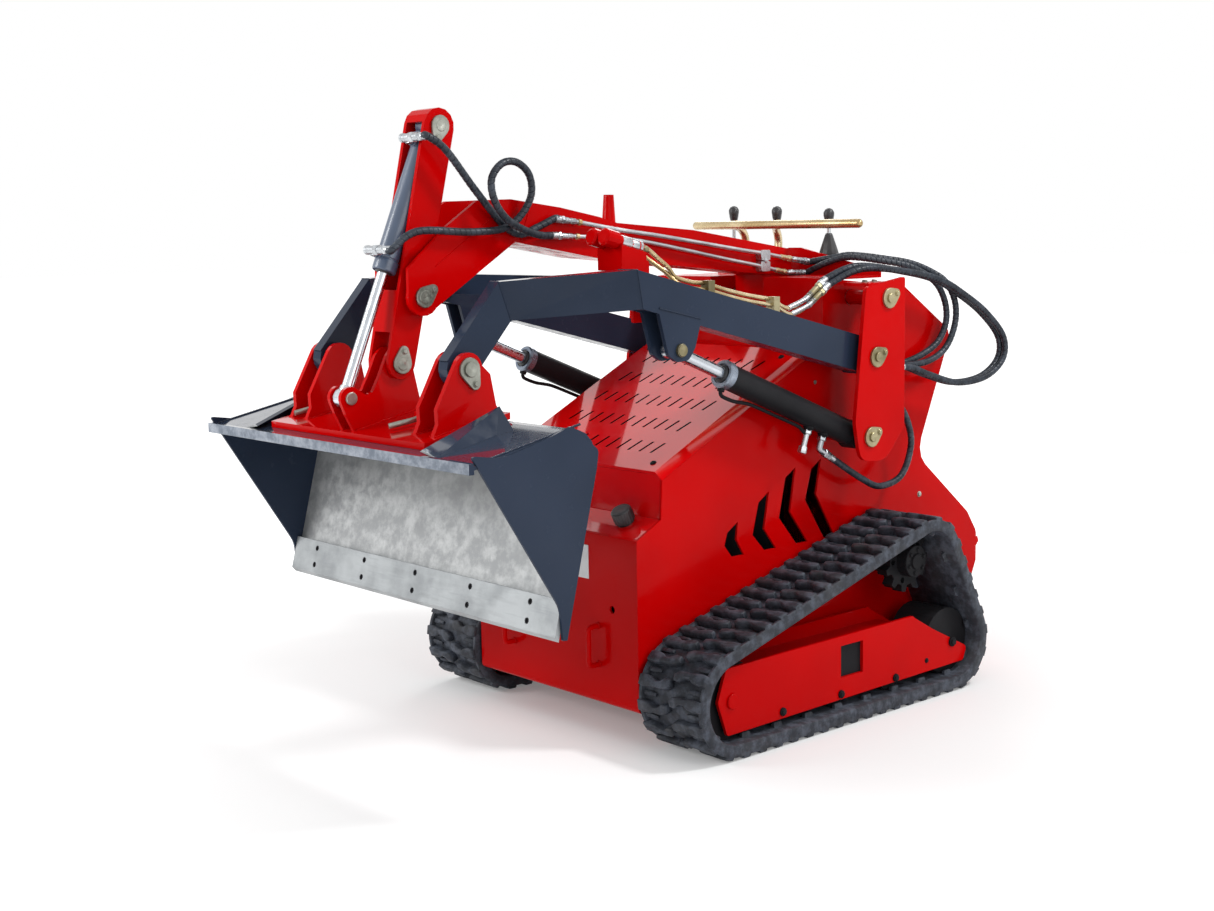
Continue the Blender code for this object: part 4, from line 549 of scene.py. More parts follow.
def guarded_hose(name, points):
    """Hose whose guard winds round it; columns of faces follow the windings."""
    route = smooth_route(points, GUARD_STEP)
    turn = 2.0 * math.pi * GUARD_STEP / GUARD_PITCH
    swell = [0.96, 1.11] + [1.15] * (GUARD_SIDES - 3) + [1.11]
    rings = []
    for i, (place, (side, other)) in enumerate(zip(*carried(route))):
        rings.append([place + HOSE_R * r * (cos * side + sin * other)
            for r, (cos, sin) in zip(swell, spin(GUARD_SIDES, turn * i))])
    item = Shape().rings(rings).make(name + "_guarded", "hose", "rubber", angle=60.0)
    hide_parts(name)
    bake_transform(item)
    return item


def lead(place, heading):
    """A hose's first stretch, straight out of its fitting."""
    place, heading = Vector(place), Vector(heading).normalized()
    return [place + heading * run for run in (HOSE_GAP, HOSE_GAP + 0.012, HOSE_GAP + 0.026)]


def pipe_end(route, x, last):
    """Place and outward heading of a pipe's last or first end."""
    (y0, z0), (y1, z1) = (route[-2], route[-1]) if last else (route[1], route[0])
    return (x, y1, z1), (0.0, y1 - y0, z1 - z0)


def hose_end(name, place, heading, body):
    """Hex nut and crimped sleeve over the first stretch of a hose."""
    shape = Shape()
    shape.lathe(((0.0004, 0.0078), (0.0012, 0.0096), (0.0084, 0.0096), (0.0092, 0.008)), place, heading,
        6)
    crimps = [(0.0092, 0.008), (0.01, 0.0088)]
    for k in range(3):
        s = 0.0115 + 0.0042 * k
        crimps += [(s, 0.0089), (s + 0.0007, 0.0085), (s + 0.002, 0.0085), (s + 0.0027, 0.0089)]
    crimps += [(0.025, 0.0089), (0.0258, 0.0083)]
    shape.lathe(crimps, place, heading, 20)
    return shape.make(name, "silver", "zinc", body)


def cylinder_axis(base, tip, x):
    """A cylinder's foot, its heading and the length from pin to pin."""
    start, end = Vector((x, *base)), Vector((x, *tip))
    return start, (end - start).normalized(), (end - start).length


def tilt_port(s):
    start, heading, _ = cylinder_axis(MAST_TOP_PIN, EAR_PIN, 0.0)
    return start + heading * s + Vector((0.0, heading.z, -heading.y)) * PORT_REACH


def lift_port(s, reach):
    """Foot and tip of a fitting below the lift barrel, s from the foot pin."""
    start, heading, _ = cylinder_axis(LIFT_BASE_PIN, LIFT_ROD_PIN, LIFT_X)
    down = Vector((0.0, -heading.z, heading.y))
    foot = start + heading * s
    return foot + down * 0.024, foot + down * reach


def lift_elbow():
    corner = lift_port(*LIFT_PORTS[1])[1]
    return corner, corner + Vector((0.0, 0.86, -0.5)) * 0.034


def build_hoses():
    for i, (x, drop) in enumerate(ARM_PIPES):
        (_, y, z), heading = pipe_end(ARM_PIPE_ROUTE, x, True)
        end = BULKHEAD_X[2 + i]
        route = lead((x, y, z - drop), heading)
        route += [(end - inward, py, pz - share * drop) for inward, py, pz, share in ARM_HOSE_ROUTE]
        route += lead((end, BULKHEAD_Y, BULKHEAD_Z), REARWARD)[::-1]
        guarded_hose("arm_hose_{}".format(i + 1), route)
        hose_end("arm_hose_end_{}".format(i + 1), (x, y, z - drop), heading, "arms")
        hose_end("arm_bulkhead_end_{}".format(i + 1), (end, BULKHEAD_Y, BULKHEAD_Z), REARWARD, "chassis")
    for i, (pipes, middle) in enumerate(zip((BOOM_PIPE_UPPER, BOOM_PIPE_LOWER), BOOM_HOSE_ROUTES)):
        place, heading = pipe_end(pipes, BOOM_PIPE_X, True)
        port = (BULKHEAD_X[1 - i], BULKHEAD_Y, BULKHEAD_Z)
        route = lead(place, heading) + list(middle) + lead(port, REARWARD)[::-1]
        guarded_hose("boom_hose_{}".format(i + 1), route)
        hose_end("boom_hose_end_{}".format(i + 1), place, heading, "boom")
        hose_end("boom_bulkhead_end_{}".format(i + 1), port, REARWARD, "chassis")
    for name, s, middle, pipes in (("tilt_hose_upper", TILT_PORTS[0], TILT_HOSE_UPPER, BOOM_PIPE_UPPER),
            ("tilt_hose_lower", TILT_PORTS[1], TILT_HOSE_LOWER, BOOM_PIPE_LOWER)):
        port = tilt_port(s)
        port = (PORT_END_X, port.y, port.z)
        place, heading = pipe_end(pipes, BOOM_PIPE_X, False)
        route = lead(port, ACROSS) + list(middle) + lead(place, heading)[::-1]
        guarded_hose(name, route)
        hose_end(name + "_end", port, ACROSS, "tilt_barrel")
        hose_end(name + "_pipe_end", place, heading, "boom")
    for side, sign in zip(("left", "right"), SIDES):
        elbow, tip = lift_elbow()
        port = Vector((CHASSIS_HALF, *LIFT_HOSE_END))
        route = lead(tip, tip - elbow) + list(LIFT_HOSE_ROUTE)
        route += lead(port, ACROSS)[::-1]
        turned = [Vector((sign * p[0], p[1], p[2])) for p in route]
        body = "lift_barrel_" + side
        guarded_hose("lift_hose_" + side, turned)
        flip = Vector((sign, 1.0, 1.0))
        hose_end("lift_hose_end_" + side, tip * flip, (tip - elbow) * flip, body)
        hose_end("lift_port_end_" + side, port * flip, (sign, 0.0, 0.0), "chassis")


# Tracks

def belt_frames():
    """Points round the belt's outer face, in arcs about each wheel, and the running length round to each.
    """
    count = len(TRACK_WHEELS)
    normals = []
    for i in range(count):
        y0, z0, r0 = TRACK_WHEELS[i]
        y1, z1, r1 = TRACK_WHEELS[(i + 1) % count]
        gap = math.hypot(y1 - y0, z1 - z0)
        normals.append(math.atan2(z1 - z0, y1 - y0) - math.acos((r0 - r1) / gap))
    outline = []
    for i in range(count):
        start = normals[i - 1]
        sweep = (normals[i] - start) % (2.0 * math.pi)
        y, z, radius = TRACK_WHEELS[i]
        outline += arc((y, z), radius - LUG_HEIGHT, math.degrees(start), math.degrees(start + sweep), 48)
    points = [Vector(p) for p in outline]
    lengths = [0.0]
    for a, b in zip(points, points[1:] + points[:1]):
        lengths.append(lengths[-1] + (b - a).length)
    return points, lengths


BELT_POINTS, BELT_LENGTHS = belt_frames()
BELT_ROUND = BELT_LENGTHS[-1]


def on_belt(x, s, height):
    """Point at x, distance s round the belt and height off its outer face."""
    s %= BELT_ROUND
    low, high = 0, len(BELT_POINTS)
    while high - low > 1:
        middle = (low + high) // 2
        if BELT_LENGTHS[middle] <= s:
            low = middle
        else:
            high = middle
    a, b = BELT_POINTS[low], BELT_POINTS[(low + 1) % len(BELT_POINTS)]
    share = (s - BELT_LENGTHS[low]) / max(1e-9, BELT_LENGTHS[low + 1] - BELT_LENGTHS[low])
    here = a.lerp(b, share)
    after = BELT_POINTS[(low + 2) % len(BELT_POINTS)]
    before = BELT_POINTS[low - 1]
    along = (b - before).normalized().lerp((after - a).normalized(), share).normalized()
    out = Vector((along.y, -along.x))
    return Vector((x, here.x + out.x * height, here.y + out.y * height))


def lug(shape, outline, s, levels):
    """Rubber block standing on the belt, its sides drawn in level by level."""
    cx = sum(p[0] for p in outline) / len(outline)
    cs = sum(p[1] for p in outline) / len(outline)
    rings = []
    for height, inset in levels:
        ring = []
        for x, v in outline:
            out = Vector((x - cx, v - cs))
            out -= Vector((math.copysign(min(inset, abs(out.x)), out.x),
                math.copysign(min(inset, abs(out.y)), out.y)))
            ring.append(on_belt(cx + out.x, s + cs + out.y, height))
        rings.append(ring)
    shape.rings(rings)


def build_track(side):
    shape = Shape()
    x0, x1 = TRACK_IN, TRACK_OUT
    section = ((x0 + 0.014, 0.0), (x0 + 0.01, 0.01), (x0 + 0.003, 0.011), (x0, 0.008), (x0, 0.003 - BELT),
        (x0 + 0.003, -BELT), (x1 - 0.003, -BELT), (x1, 0.003 - BELT), (x1, 0.008), (x1 - 0.003, 0.011),
        (x1 - 0.01, 0.01), (x1 - 0.014, 0.0))
    stations = 220
    rings = []
    for i in range(stations):
        s = BELT_ROUND * i / stations
        rings.append([on_belt(x, s, h) for x, h in section])
    shape.rings(rings, closed=True)
    count = round(BELT_ROUND / TREAD_PITCH)
    middle = (x0 + x1) / 2.0
    levels = ((-0.003, -0.003), (0.002, -0.0005), (0.0135, 0.001), (0.0168, 0.0022), (0.018, 0.0048))
    half_row = ((0.001, -0.011), (0.022, -0.0125), (0.038, -0.0105), (0.054, -0.004), (0.068, -0.006),
        (0.083, -0.015), (0.096, -0.0135), (0.099, 0.001), (0.088, 0.009), (0.07, 0.0115), (0.05, 0.0105),
        (0.036, 0.013), (0.016, 0.0145), (0.001, 0.0125))
    bar = ((0.014, -0.005), (0.032, -0.0065), (0.052, -0.004), (0.052, 0.0035), (0.032, 0.0055),
        (0.014, 0.005))
    low_levels = ((-0.003, -0.002), (0.005, 0.0), (0.0072, 0.0022))
    for i in range(count):
        s = BELT_ROUND * i / count
        lug(shape, [(x0 + u, v) for u, v in half_row], s, levels)
        lug(shape, [(x1 - u, -v) for u, v in half_row], s + BELT_ROUND / count / 2.0, levels)
        lug(shape, [(x0 + u, v) for u, v in bar], s + BELT_ROUND / count / 2.0, low_levels)
        lug(shape, [(x1 - u, -v) for u, v in bar], s, low_levels)
        if i % 2 == 0:
            continue
        for x in (middle - 0.064, middle + 0.064):
            tooth = ((x - 0.005, -0.014), (x + 0.005, -0.014), (x + 0.005, 0.014), (x - 0.005, 0.014))
            rings = []
            for height, inset in ((0.002 - BELT, 0.0), (-BELT - 0.009, 0.0015), (-BELT - 0.011, 0.004)):
                rings.append([on_belt(px + math.copysign(min(inset, 0.003), x - px),
                    s + v - math.copysign(inset, v), height) for px, v in tooth])
            shape.rings(rings[::-1])
    if side == "right":
        shape.flip()
    shape.make("tread_" + side, "rubber", "rubber", "chassis", ("track_" + side,), 50.0)


# Cylinders

def build_tilt_cylinder():
    start, heading, length = cylinder_axis(MAST_TOP_PIN, EAR_PIN, 0.0)
    tube = Shape()
    tube.lathe(((0.018, 0.0215), (0.02, 0.025), (0.0215, 0.0262), (0.024, 0.0262), (0.0255, 0.025),
        (TILT_BARREL - 0.03, 0.025), (TILT_BARREL - 0.028, 0.0235), (TILT_BARREL - 0.026, 0.0235),
        (TILT_BARREL - 0.024, 0.026), (TILT_BARREL - 0.002, 0.026), (TILT_BARREL, 0.0245),
        (TILT_BARREL, 0.0145), (TILT_BARREL - 0.004, 0.014)), start, heading, 36)
    tube.lathe(eye(0.018, 0.024, 0.0015, 0.0025), start, ACROSS, 32)
    ports = [(start + heading * s, tilt_port(s)) for s in TILT_PORTS]
    for foot, port in ports:
        out = (port - foot).normalized()
        tube.lathe(((0.018, 0.0125), (0.0262, 0.0125), (0.0275, 0.011), (0.032, 0.011)), foot, out, 24)
    tube.make("tilt_tube", "tilt_paint", "slate_paint", "tilt_barrel", ("tilt_barrel",))
    fittings = Shape()
    for foot, port in ports:
        out = (port - foot).normalized()
        fittings.lathe(((0.03, 0.0105), (0.033, 0.0118), (0.04, 0.0118), (0.041, 0.0095)), foot, out, 6)
        fittings.lathe(((-0.018, 0.0085), (-0.0165, 0.01), (-0.01, 0.01), (-0.009, 0.0088),
            (0.009, 0.0088), (0.01, 0.01), (0.0165, 0.01)), (0.0, port.y, port.z), ACROSS, 24)
        fittings.lathe(((0.0165, 0.0104), (0.0175, 0.0118), (0.0285, 0.0118), (0.0295, 0.0104)),
            (0.0, port.y, port.z), ACROSS, 6)
        fittings.lathe(((0.029, 0.009), (PORT_END_X - 0.001, 0.009), (PORT_END_X, 0.008)),
            (0.0, port.y, port.z), ACROSS, 24)
    fittings.make("tilt_fittings", "silver", "zinc", "tilt_barrel")
    wiper = Shape().lathe(((TILT_BARREL - 0.003, 0.0185), (TILT_BARREL + 0.0012, 0.018),
        (TILT_BARREL + 0.0034, 0.015), (TILT_BARREL + 0.0034, 0.0133)), start, heading, 32)
    wiper.make("tilt_wiper", "black_plastic", "black_plastic", "tilt_barrel")
    rod = Shape()
    rod.lathe(((TILT_BARREL - 0.035, 0.0125), (length - 0.024, 0.0125)), start, heading, 32)
    rod.lathe(((length - 0.0255, 0.013), (length - 0.0235, 0.015), (length - 0.014, 0.0165),
        (length - 0.008, 0.012)), start, heading, 28)
    rod.lathe(eye(0.012, 0.021, 0.0012, 0.002), (0.0, *EAR_PIN), ACROSS, 32)
    rod.make("tilt_ram", "chrome", "chrome", "tilt_rod", ("tilt_rod",))


def build_lift_cylinder(side):
    start, heading, length = cylinder_axis(LIFT_BASE_PIN, LIFT_ROD_PIN, LIFT_X)
    body = "lift_barrel_" + side

    def made(shape, name, look, slot, rides, stands_for=()):
        if side == "right":
            shape.flip()
        shape.make(name + "_" + side, look, slot, rides, stands_for)

    end = LIFT_BARREL
    tube = Shape()
    tube.lathe(((0.022, 0.026), (0.025, 0.03), (0.0265, 0.0315), (0.0295, 0.0315), (0.031, 0.03),
        (end - 0.025, 0.03), (end - 0.022, 0.031), (end - 0.02, 0.031)), start, heading, 36)
    tube.lathe(eye(0.024, 0.032, 0.0015, 0.003), start, ACROSS, 36)
    down = Vector((0.0, -heading.z, heading.y))
    for s, _ in LIFT_PORTS:
        tube.lathe(((0.024, 0.0135), (0.0315, 0.0135), (0.0335, 0.011), (0.038, 0.011)),
            start + heading * s, down, 24)
    made(tube, "lift_tube", "black_paint", "black_paint", body, (body,))
    gland = Shape()
    gland.lathe(((end - 0.0205, 0.03), (end - 0.0195, 0.0328), (end - 0.003, 0.0328),
        (end - 0.001, 0.0305), (end, 0.0295), (end, 0.0235), (end - 0.004, 0.0225), (end - 0.004, 0.016)),
        start, heading, 36)
    made(gland, "lift_gland", "gland", "zinc", body)
    feed = Shape()
    line = [(end - 0.012, 0.028), (end - 0.012, 0.038), (end - 0.016, 0.045), (end - 0.026, 0.0475),
        (end - 0.06, 0.0465), (end - 0.09, 0.041), (end - 0.12, 0.0372), (end - 0.2, 0.0365),
        (0.2, 0.0365), (0.183, 0.04), (0.17, 0.044), (0.16, 0.044)]
    feed.bar([start + heading * s + down * r for s, r in line], 0.005, 0.0044, 14)
    feed.lathe(((0.0295, 0.0085), (0.0375, 0.0085), (0.0385, 0.0072)), start + heading * (end - 0.012),
        down, 20)
    made(feed, "lift_feed", "black_paint", "black_paint", body)
    wiper = Shape().lathe(((end - 0.003, 0.021), (end + 0.001, 0.0205), (end + 0.0032, 0.0175),
        (end + 0.0032, 0.0158)), start, heading, 32)
    made(wiper, "lift_wiper", "black_plastic", "black_plastic", body)
    fittings = Shape()
    nut = ((0.01, 0.0095), (0.012, 0.0115), (0.02, 0.0115), (0.022, 0.0095))
    foot, tip = lift_port(*LIFT_PORTS[0])
    run = tip - foot
    fittings.lathe(nut, foot, run, 6)
    fittings.lathe(((0.02, 0.0068), (run.length - 0.016, 0.0068)), foot, run, 20)
    fittings.lathe(((run.length - 0.0165, 0.01), (run.length - 0.014, 0.0112),
        (run.length - 0.002, 0.0112), (run.length, 0.01)), foot, run, 6)
    foot, corner = lift_port(*LIFT_PORTS[1])
    _, elbow_tip = lift_elbow()
    run = corner - foot
    out = elbow_tip - corner
    fittings.lathe(nut, foot, run, 6)
    bend = [foot + run * 0.45, foot + run * 0.8, foot + run * 0.93 + out * 0.03, corner + out * 0.1,
        corner + out * 0.3, elbow_tip - out * 0.12]
    fittings.bar(bend, 0.003, 0.0078, 20)
    fittings.lathe(((out.length * 0.62, 0.0092), (out.length * 0.66, 0.0104),
        (out.length - 0.0012, 0.0104), (out.length, 0.009)), corner, out, 6)
    made(fittings, "lift_fittings", "silver", "zinc", body)
    ram = Shape()
    ram.lathe(((0.3, 0.015), (length - 0.02, 0.015)), start, heading, 32)
    ram.lathe(((length - 0.0225, 0.0155), (length - 0.0205, 0.0175), (length - 0.012, 0.017),
        (length - 0.008, 0.012)), start, heading, 28)
    ram.lathe(eye(0.014, 0.019, 0.0012, 0.0018), (LIFT_X, *LIFT_ROD_PIN), ACROSS, 32)
    made(ram, "lift_ram", "chrome", "chrome", "lift_rod_" + side, ("lift_rod_" + side,))


# Pins, keepers and bolts

def eye(half, radius, run, rise):
    """Profile of a cylinder's eye: a drum across the machine with chamfered rims."""
    return ((-half, radius - rise), (run - half, radius), (half - run, radius), (half, radius - rise))


def hex_head(shape, place, heading, radius, height):
    """Hex bolt head on its washer."""
    place, heading = Vector(place), Vector(heading).normalized()
    shape.lathe(((-0.001, radius * 1.28), (0.001, radius * 1.28), (0.0014, radius * 1.2)), place, heading,
        20)
    shape.lathe(((0.001, radius), (height * 0.8, radius), (height, radius * 0.84)), place, heading, 6,
        0.3)


def keeper_piece(name, body, place, tail, big, small, x0, x1, pin_r, pin_x, sides=SIDES, look="zinc"):
    """Teardrop keeper plate from x0 to x1, the pin's end with its centre drilling, and one bolt."""
    shape = Shape()
    for sign in sides:
        shape.prism(capsule(place, big + 0.0006, tail, small + 0.0006), sign * x0, sign * x1, 0.0014)
        shape.lathe(((x0, pin_r), (pin_x - 0.0012, pin_r), (pin_x, pin_r - 0.0012), (pin_x, 0.0036),
            (pin_x - 0.0005, 0.0026)), (0.0, *place), (sign, 0.0, 0.0), 28)
        hex_head(shape, (sign * x1, *tail), (sign, 0.0, 0.0), 0.0058, 0.0042)
    return shape.make(name, look, "zinc", body)


def build_keepers():
    for sign, side in zip(SIDES, ("left", "right")):
        for label, place in (("boom", BOOM_PIVOT), ("arm", ARM_PIVOT), ("lift", LIFT_BASE_PIN)):
            keeper_piece("post_keeper_{}_{}".format(label, side), "chassis", place,
                (place[0] + 0.024, place[1] + 0.01), big=0.024, small=0.011, x0=0.409, x1=0.4166,
                pin_r=0.0118, pin_x=0.4216, sides=(sign,), look="olive")
    for label, place, turn, outer, radius in (("top", MAST_TOP_PIN, 250.0, MAST_HALF + 0.007, 0.012),
            ("middle", MAST_PIN, 35.0, BOOM_HALF + 0.008, 0.014),
            ("foot", TOOL_PIN, 80.0, MAST_HALF + 0.007, 0.014)):
        a = math.radians(turn)
        tail = (place[0] + 0.026 * math.cos(a), place[1] + 0.026 * math.sin(a))
        keeper_piece("mast_keeper_" + label, "mast", place, tail, big=0.022, small=0.011,
            x0=outer - 0.0062, x1=outer - 0.0004, pin_r=radius + 0.0006, pin_x=outer + 0.0008)
    keeper_piece("arm_pin_keeper", "tool", TOOL_PIN, (TOOL_PIN[0] + 0.012, TOOL_PIN[1] - 0.03),
        big=0.024, small=0.012, x0=0.2728, x1=0.2806, pin_r=0.0156, pin_x=0.2857)
    heads = Shape()
    for sign in SIDES:
        heads.lathe(((0.378, 0.0146), (0.3895, 0.0146), (0.3916, 0.0125), (0.3916, 0.004),
            (0.3911, 0.003)), (0.0, *LIFT_ROD_PIN), (sign, 0.0, 0.0), 28)
    heads.make("lift_pin_heads", "olive", "zinc", "arms")
    ears = Shape()
    for sign in SIDES:
        ears.lathe(((0.0245, 0.0136), (0.0294, 0.0136), (0.0306, 0.012)), (0.0, *EAR_PIN),
            (sign, 0.0, 0.0), 28)
    ears.make("ear_pin_heads", "zinc", "zinc", "tool")


def build_bolts():
    plates = Shape()
    for sign in SIDES:
        for y, z in ((0.7, 1.015), (0.735, 1.015)):
            hex_head(plates, (sign * 0.35, y, 1.0185), UP, 0.007, 0.0055)
    plates.make("post_bolts", "zinc", "zinc", "chassis")
    frames = Shape()
    for sign in SIDES:
        for place in ROLLERS:
            hex_head(frames, (sign * 0.477, *place), (sign, 0.0, 0.0), 0.0074, 0.0045)
        hex_head(frames, (sign * 0.478, *REAR_HUB), (sign, 0.0, 0.0), 0.0095, 0.0055)
        hex_head(frames, (sign * 0.474, 0.79, 0.09), (sign, 0.0, 0.0), 0.005, 0.004)
        frames.prism([(0.468, 0.107), (0.551, 0.107), (0.551, 0.187), (0.468, 0.187)], sign * 0.46,
            sign * 0.4655)
        hub_y, hub_z = DRIVE_HUB
        frames.lathe(((0.4395, 0.0395), (0.443, 0.0395), (0.4445, 0.038), (0.4445, 0.02), (0.449, 0.0185),
            (0.449, 0.006)), (0.0, *DRIVE_HUB), (sign, 0.0, 0.0), 36)
        for cos, sin in spin(6, math.radians(20.0)):
            hex_head(frames, (sign * 0.4445, hub_y + 0.029 * cos, hub_z + 0.029 * sin), (sign, 0.0, 0.0),
                0.005, 0.0042)
    frames.make("track_frame_bolts", "black_paint", "black_paint", "chassis")
    sides = Shape()
    for sign in SIDES:
        hex_head(sides, (sign * CHASSIS_HALF, 0.993, 0.46), (sign, 0.0, 0.0), 0.0058, 0.0045)
        hex_head(sides, (sign * CHASSIS_HALF, 0.589, 0.782), (sign, 0.0, 0.0), 0.004, 0.0034)
    sides.make("side_bolts", "zinc", "zinc", "chassis")
    caps = Shape()
    for sign in SIDES:
        caps.lathe(((0.4735, 0.0175), (0.478, 0.0175), (0.4795, 0.016)), (0.0, *FRONT_HUB),
            (sign, 0.0, 0.0), 28)
    caps.make("idler_caps", "red_paint", "red_paint", "chassis")
    screws = Shape()
    head = ((-0.001, 0.0075), (0.0016, 0.0075), (0.0036, 0.005), (0.0036, 0.0026), (0.0018, 0.0024))
    for x in (-0.232, 0.232):
        for s in (0.03, 0.505):
            y, z = (at + s * run for at, run in zip(BONNET_FOOT, BONNET_RUN))
            screws.lathe(head, (x, y, z), (0.0, -BONNET_RUN[1], BONNET_RUN[0]), 20)
        for z in (0.905, 0.985):
            screws.lathe(head, (x * 1.06, 0.619, z), (0.0, -1.0, 0.0), 20)
    screws.make("panel_screws", "black_paint", "black_paint", "chassis")
    foot, heel = Vector(BUCKET_FOOT), Vector(BUCKET_HEEL)
    run = (heel - foot).normalized()
    across = Vector((-run.y, run.x))
    plows = Shape()
    for up in (0.008, -0.031):
        for k in range(5):
            here = foot + across * 0.0202 + run * up
            plows.lathe(((-0.006, 0.0052), (-0.0012, 0.0062), (-0.0004, 0.0058), (-0.0008, 0.0034),
                (-0.0026, 0.003)), (0.2 * (k - 2), here.x, here.y), (0.0, across.x, across.y), 20)
    plows.make("edge_bolts", "black_paint", "black_paint", "tool")


# Weld beads

def bead(shape, points, radius, ripple=0.0042):
    """Rippled bead along a line of points."""
    places = []
    for a, b in zip(points, points[1:]):
        a, b = Vector(a), Vector(b)
        steps = max(2, round((b - a).length / (ripple / 3.0)))
        places += [a.lerp(b, k / steps) for k in range(steps)]
    places.append(Vector(points[-1]))
    rings = []
    for i, (place, (side, other)) in enumerate(zip(*carried(places))):
        r = radius * (0.8 + 0.2 * math.cos(2.0 * math.pi * i / 3.0))
        rings.append([place + r * (cos * side + sin * other) for cos, sin in spin(8)])
    shape.rings(rings)


def build_welds():
    arms = Shape()
    for sign in SIDES:
        for x0, x1, top, low in ((0.322, 0.383, (-0.07, 1.073), (-0.055, 0.99)),
                (0.222, 0.252, (-0.335, 1.056), (-0.305, 0.975))):
            loop = [(sign * x0, *low), (sign * x1, *low), (sign * x1, *top), (sign * x0, *top),
                (sign * x0, *low)]
            bead(arms, loop, 0.0017)
        bead(arms, [(sign * 0.3835, -0.01, 0.99), (sign * 0.3835, 0.112, 0.962)], 0.0022)
    arms.make("arm_welds", "slate_paint", "slate_paint", "arms", angle=60.0)
    boom = Shape()
    for sign in SIDES:
        bead(boom, [(sign * 0.063, -0.356, 1.086), (sign * 0.063, -0.184, 1.199)], 0.0015)
        bead(boom, [(sign * 0.063, -0.125, 1.134), (sign * 0.063, -0.095, 1.212)], 0.0018)
    steps = spin(24)
    bead(boom, [(0.0175 * cos, 0.191 + 0.0175 * sin, 1.1665) for cos, sin in steps + steps[:1]], 0.0022)
    boom.make("boom_welds", "red_paint", "red_paint", "boom", angle=60.0)
    plate = Shape()
    for sign in SIDES:
        for centre in (0.206, 0.268):
            for x in (centre - 0.007, centre + 0.007):
                bead(plate, [(sign * x, y, back_z(y) + BED + 0.0005) for y in (-0.524, -0.356)], 0.003)
        for x in (0.0155, 0.0265):
            bead(plate, [(sign * x, y, back_z(y) + BED + 0.0005) for y in (-0.545, -0.38)], 0.0028)
    plate.make("plate_welds", "red_paint", "red_paint", "tool", angle=60.0)
    shell = Shape()
    for sign in SIDES:
        bead(shell, [(sign * 0.4925, y, back_z(y) + 0.0008) for y in (-0.585, -0.33)], 0.003)
    shell.make("bucket_welds", "slate_paint", "slate_paint", "tool", angle=60.0)


# Pipes, bar, levers and small round pieces

def build_pipes():
    boom, ends, nuts = Shape(), Shape(), Shape()
    for route in (BOOM_PIPE_UPPER, BOOM_PIPE_LOWER):
        points = [Vector((BOOM_PIPE_X, y, z)) for y, z in route]
        boom.bar(points, 0.006, PIPE_R)
        for a, b in ((points[0], points[1]), (points[-1], points[-2])):
            run = b - a
            ends.lathe(((0.0, 0.0062), (0.0012, 0.0075), (0.012, 0.0075), (0.0128, 0.0064),
                (0.018, 0.0064), (0.0185, 0.0072), (run.length * 0.8, 0.0072),
                (run.length * 0.86, 0.0056)), a, run, 20)
        nuts.lathe(((0.0, 0.0066), (0.0015, 0.0078), (0.01, 0.0078), (0.0112, 0.0068), (0.038, 0.0068),
            (0.0395, 0.0054)), points[-2], points[-3] - points[-2], 20)
        nuts.lathe(((0.0, 0.0066), (0.001, 0.0074), (0.009, 0.0074), (0.01, 0.0054)), points[1],
            points[2] - points[1], 20)
    boom.make("boom_pipe_runs", "bare_steel", "bare_steel", "boom", ("boom_pipes",))
    ends.make("boom_pipe_ends", "silver", "bare_steel", "boom")
    nuts.make("boom_pipe_nuts", "brass", "zinc", "boom")
    clamp = Shape()
    for z0, z1 in ((1.0435, 1.069), (1.0712, 1.0965)):
        outline = [(0.626, z0), (0.654, z0), (0.656, z0 + 0.002), (0.656, z1 - 0.002), (0.654, z1),
            (0.626, z1), (0.624, z1 - 0.002), (0.624, z0 + 0.002)]
        clamp.prism(outline, 0.0634, 0.0832, 0.0012)
    hex_head(clamp, (0.0832, 0.64, 1.0702), ACROSS, 0.0052, 0.004)
    clamp.make("boom_pipe_clamp", "silver", "zinc", "boom")
    spread = (1.0, 1.0, 0.83, 0.42)
    arm, sleeves = Shape(), Shape()
    for (x, drop), start_x in zip(ARM_PIPES, COUPLER_X):
        route = []
        for i, (y, z) in enumerate(ARM_PIPE_ROUTE):
            share = spread[i] if i < len(spread) else 0.0
            route.append(Vector((x + (start_x - x) * share, y, z - drop * (1.0 - share))))
        arm.bar(route, 0.006, PIPE_R)
        for a, b in ((route[0], route[1]), (route[-1], route[-2])):
            run = b - a
            sleeves.lathe(((0.0, 0.0082), (0.0012, 0.0095), (0.009, 0.0095), (0.0102, 0.008)), a, run, 6)
            sleeves.lathe(((0.009, 0.0074), (run.length * 0.8, 0.0074), (run.length * 0.88, 0.0056)), a,
                run, 20)
    arm.make("arm_pipe_runs", "brass", "zinc", "arms", ("arm_pipes",))
    swaged = Shape()
    for x, drop in ARM_PIPES:
        rear = [Vector((x, y, z - drop)) for y, z in ARM_PIPE_ROUTE[-3:]]
        swaged.bar(rear, 0.004, 0.0062, 18)
        run = rear[1] - rear[2]
        for s in (0.052, 0.036, 0.004):
            swaged.lathe(((s - 0.001, 0.0062), (s, 0.0074), (s + 0.01, 0.0074), (s + 0.011, 0.0062)),
                rear[2], run, 20)
    swaged.make("arm_pipe_swages", "silver", "zinc", "arms")
    for y, z in ARM_CLAMPS:
        sleeves.prism([(y - 0.01, z - 0.05), (y + 0.01, z - 0.05), (y + 0.01, z + 0.008),
            (y - 0.01, z + 0.008)], 0.3215, 0.296, 0.0014)
    sleeves.make("arm_pipe_fittings", "olive", "zinc", "arms")
    rings = Shape()
    for x in COUPLER_X:
        start = (x, *COUPLER_END)
        rings.lathe(((0.001, 0.012), (0.0022, 0.0144), (0.008, 0.0144), (0.009, 0.0136), (0.012, 0.0136),
            (0.013, 0.0144), (0.03, 0.0144), (0.031, 0.0138), (0.034, 0.0138), (0.035, 0.0144),
            (0.06, 0.0144), (0.061, 0.0132)), start, COUPLER_HEADING, 28)
    rings.make("coupler_sleeves", "silver", "zinc", "arms")


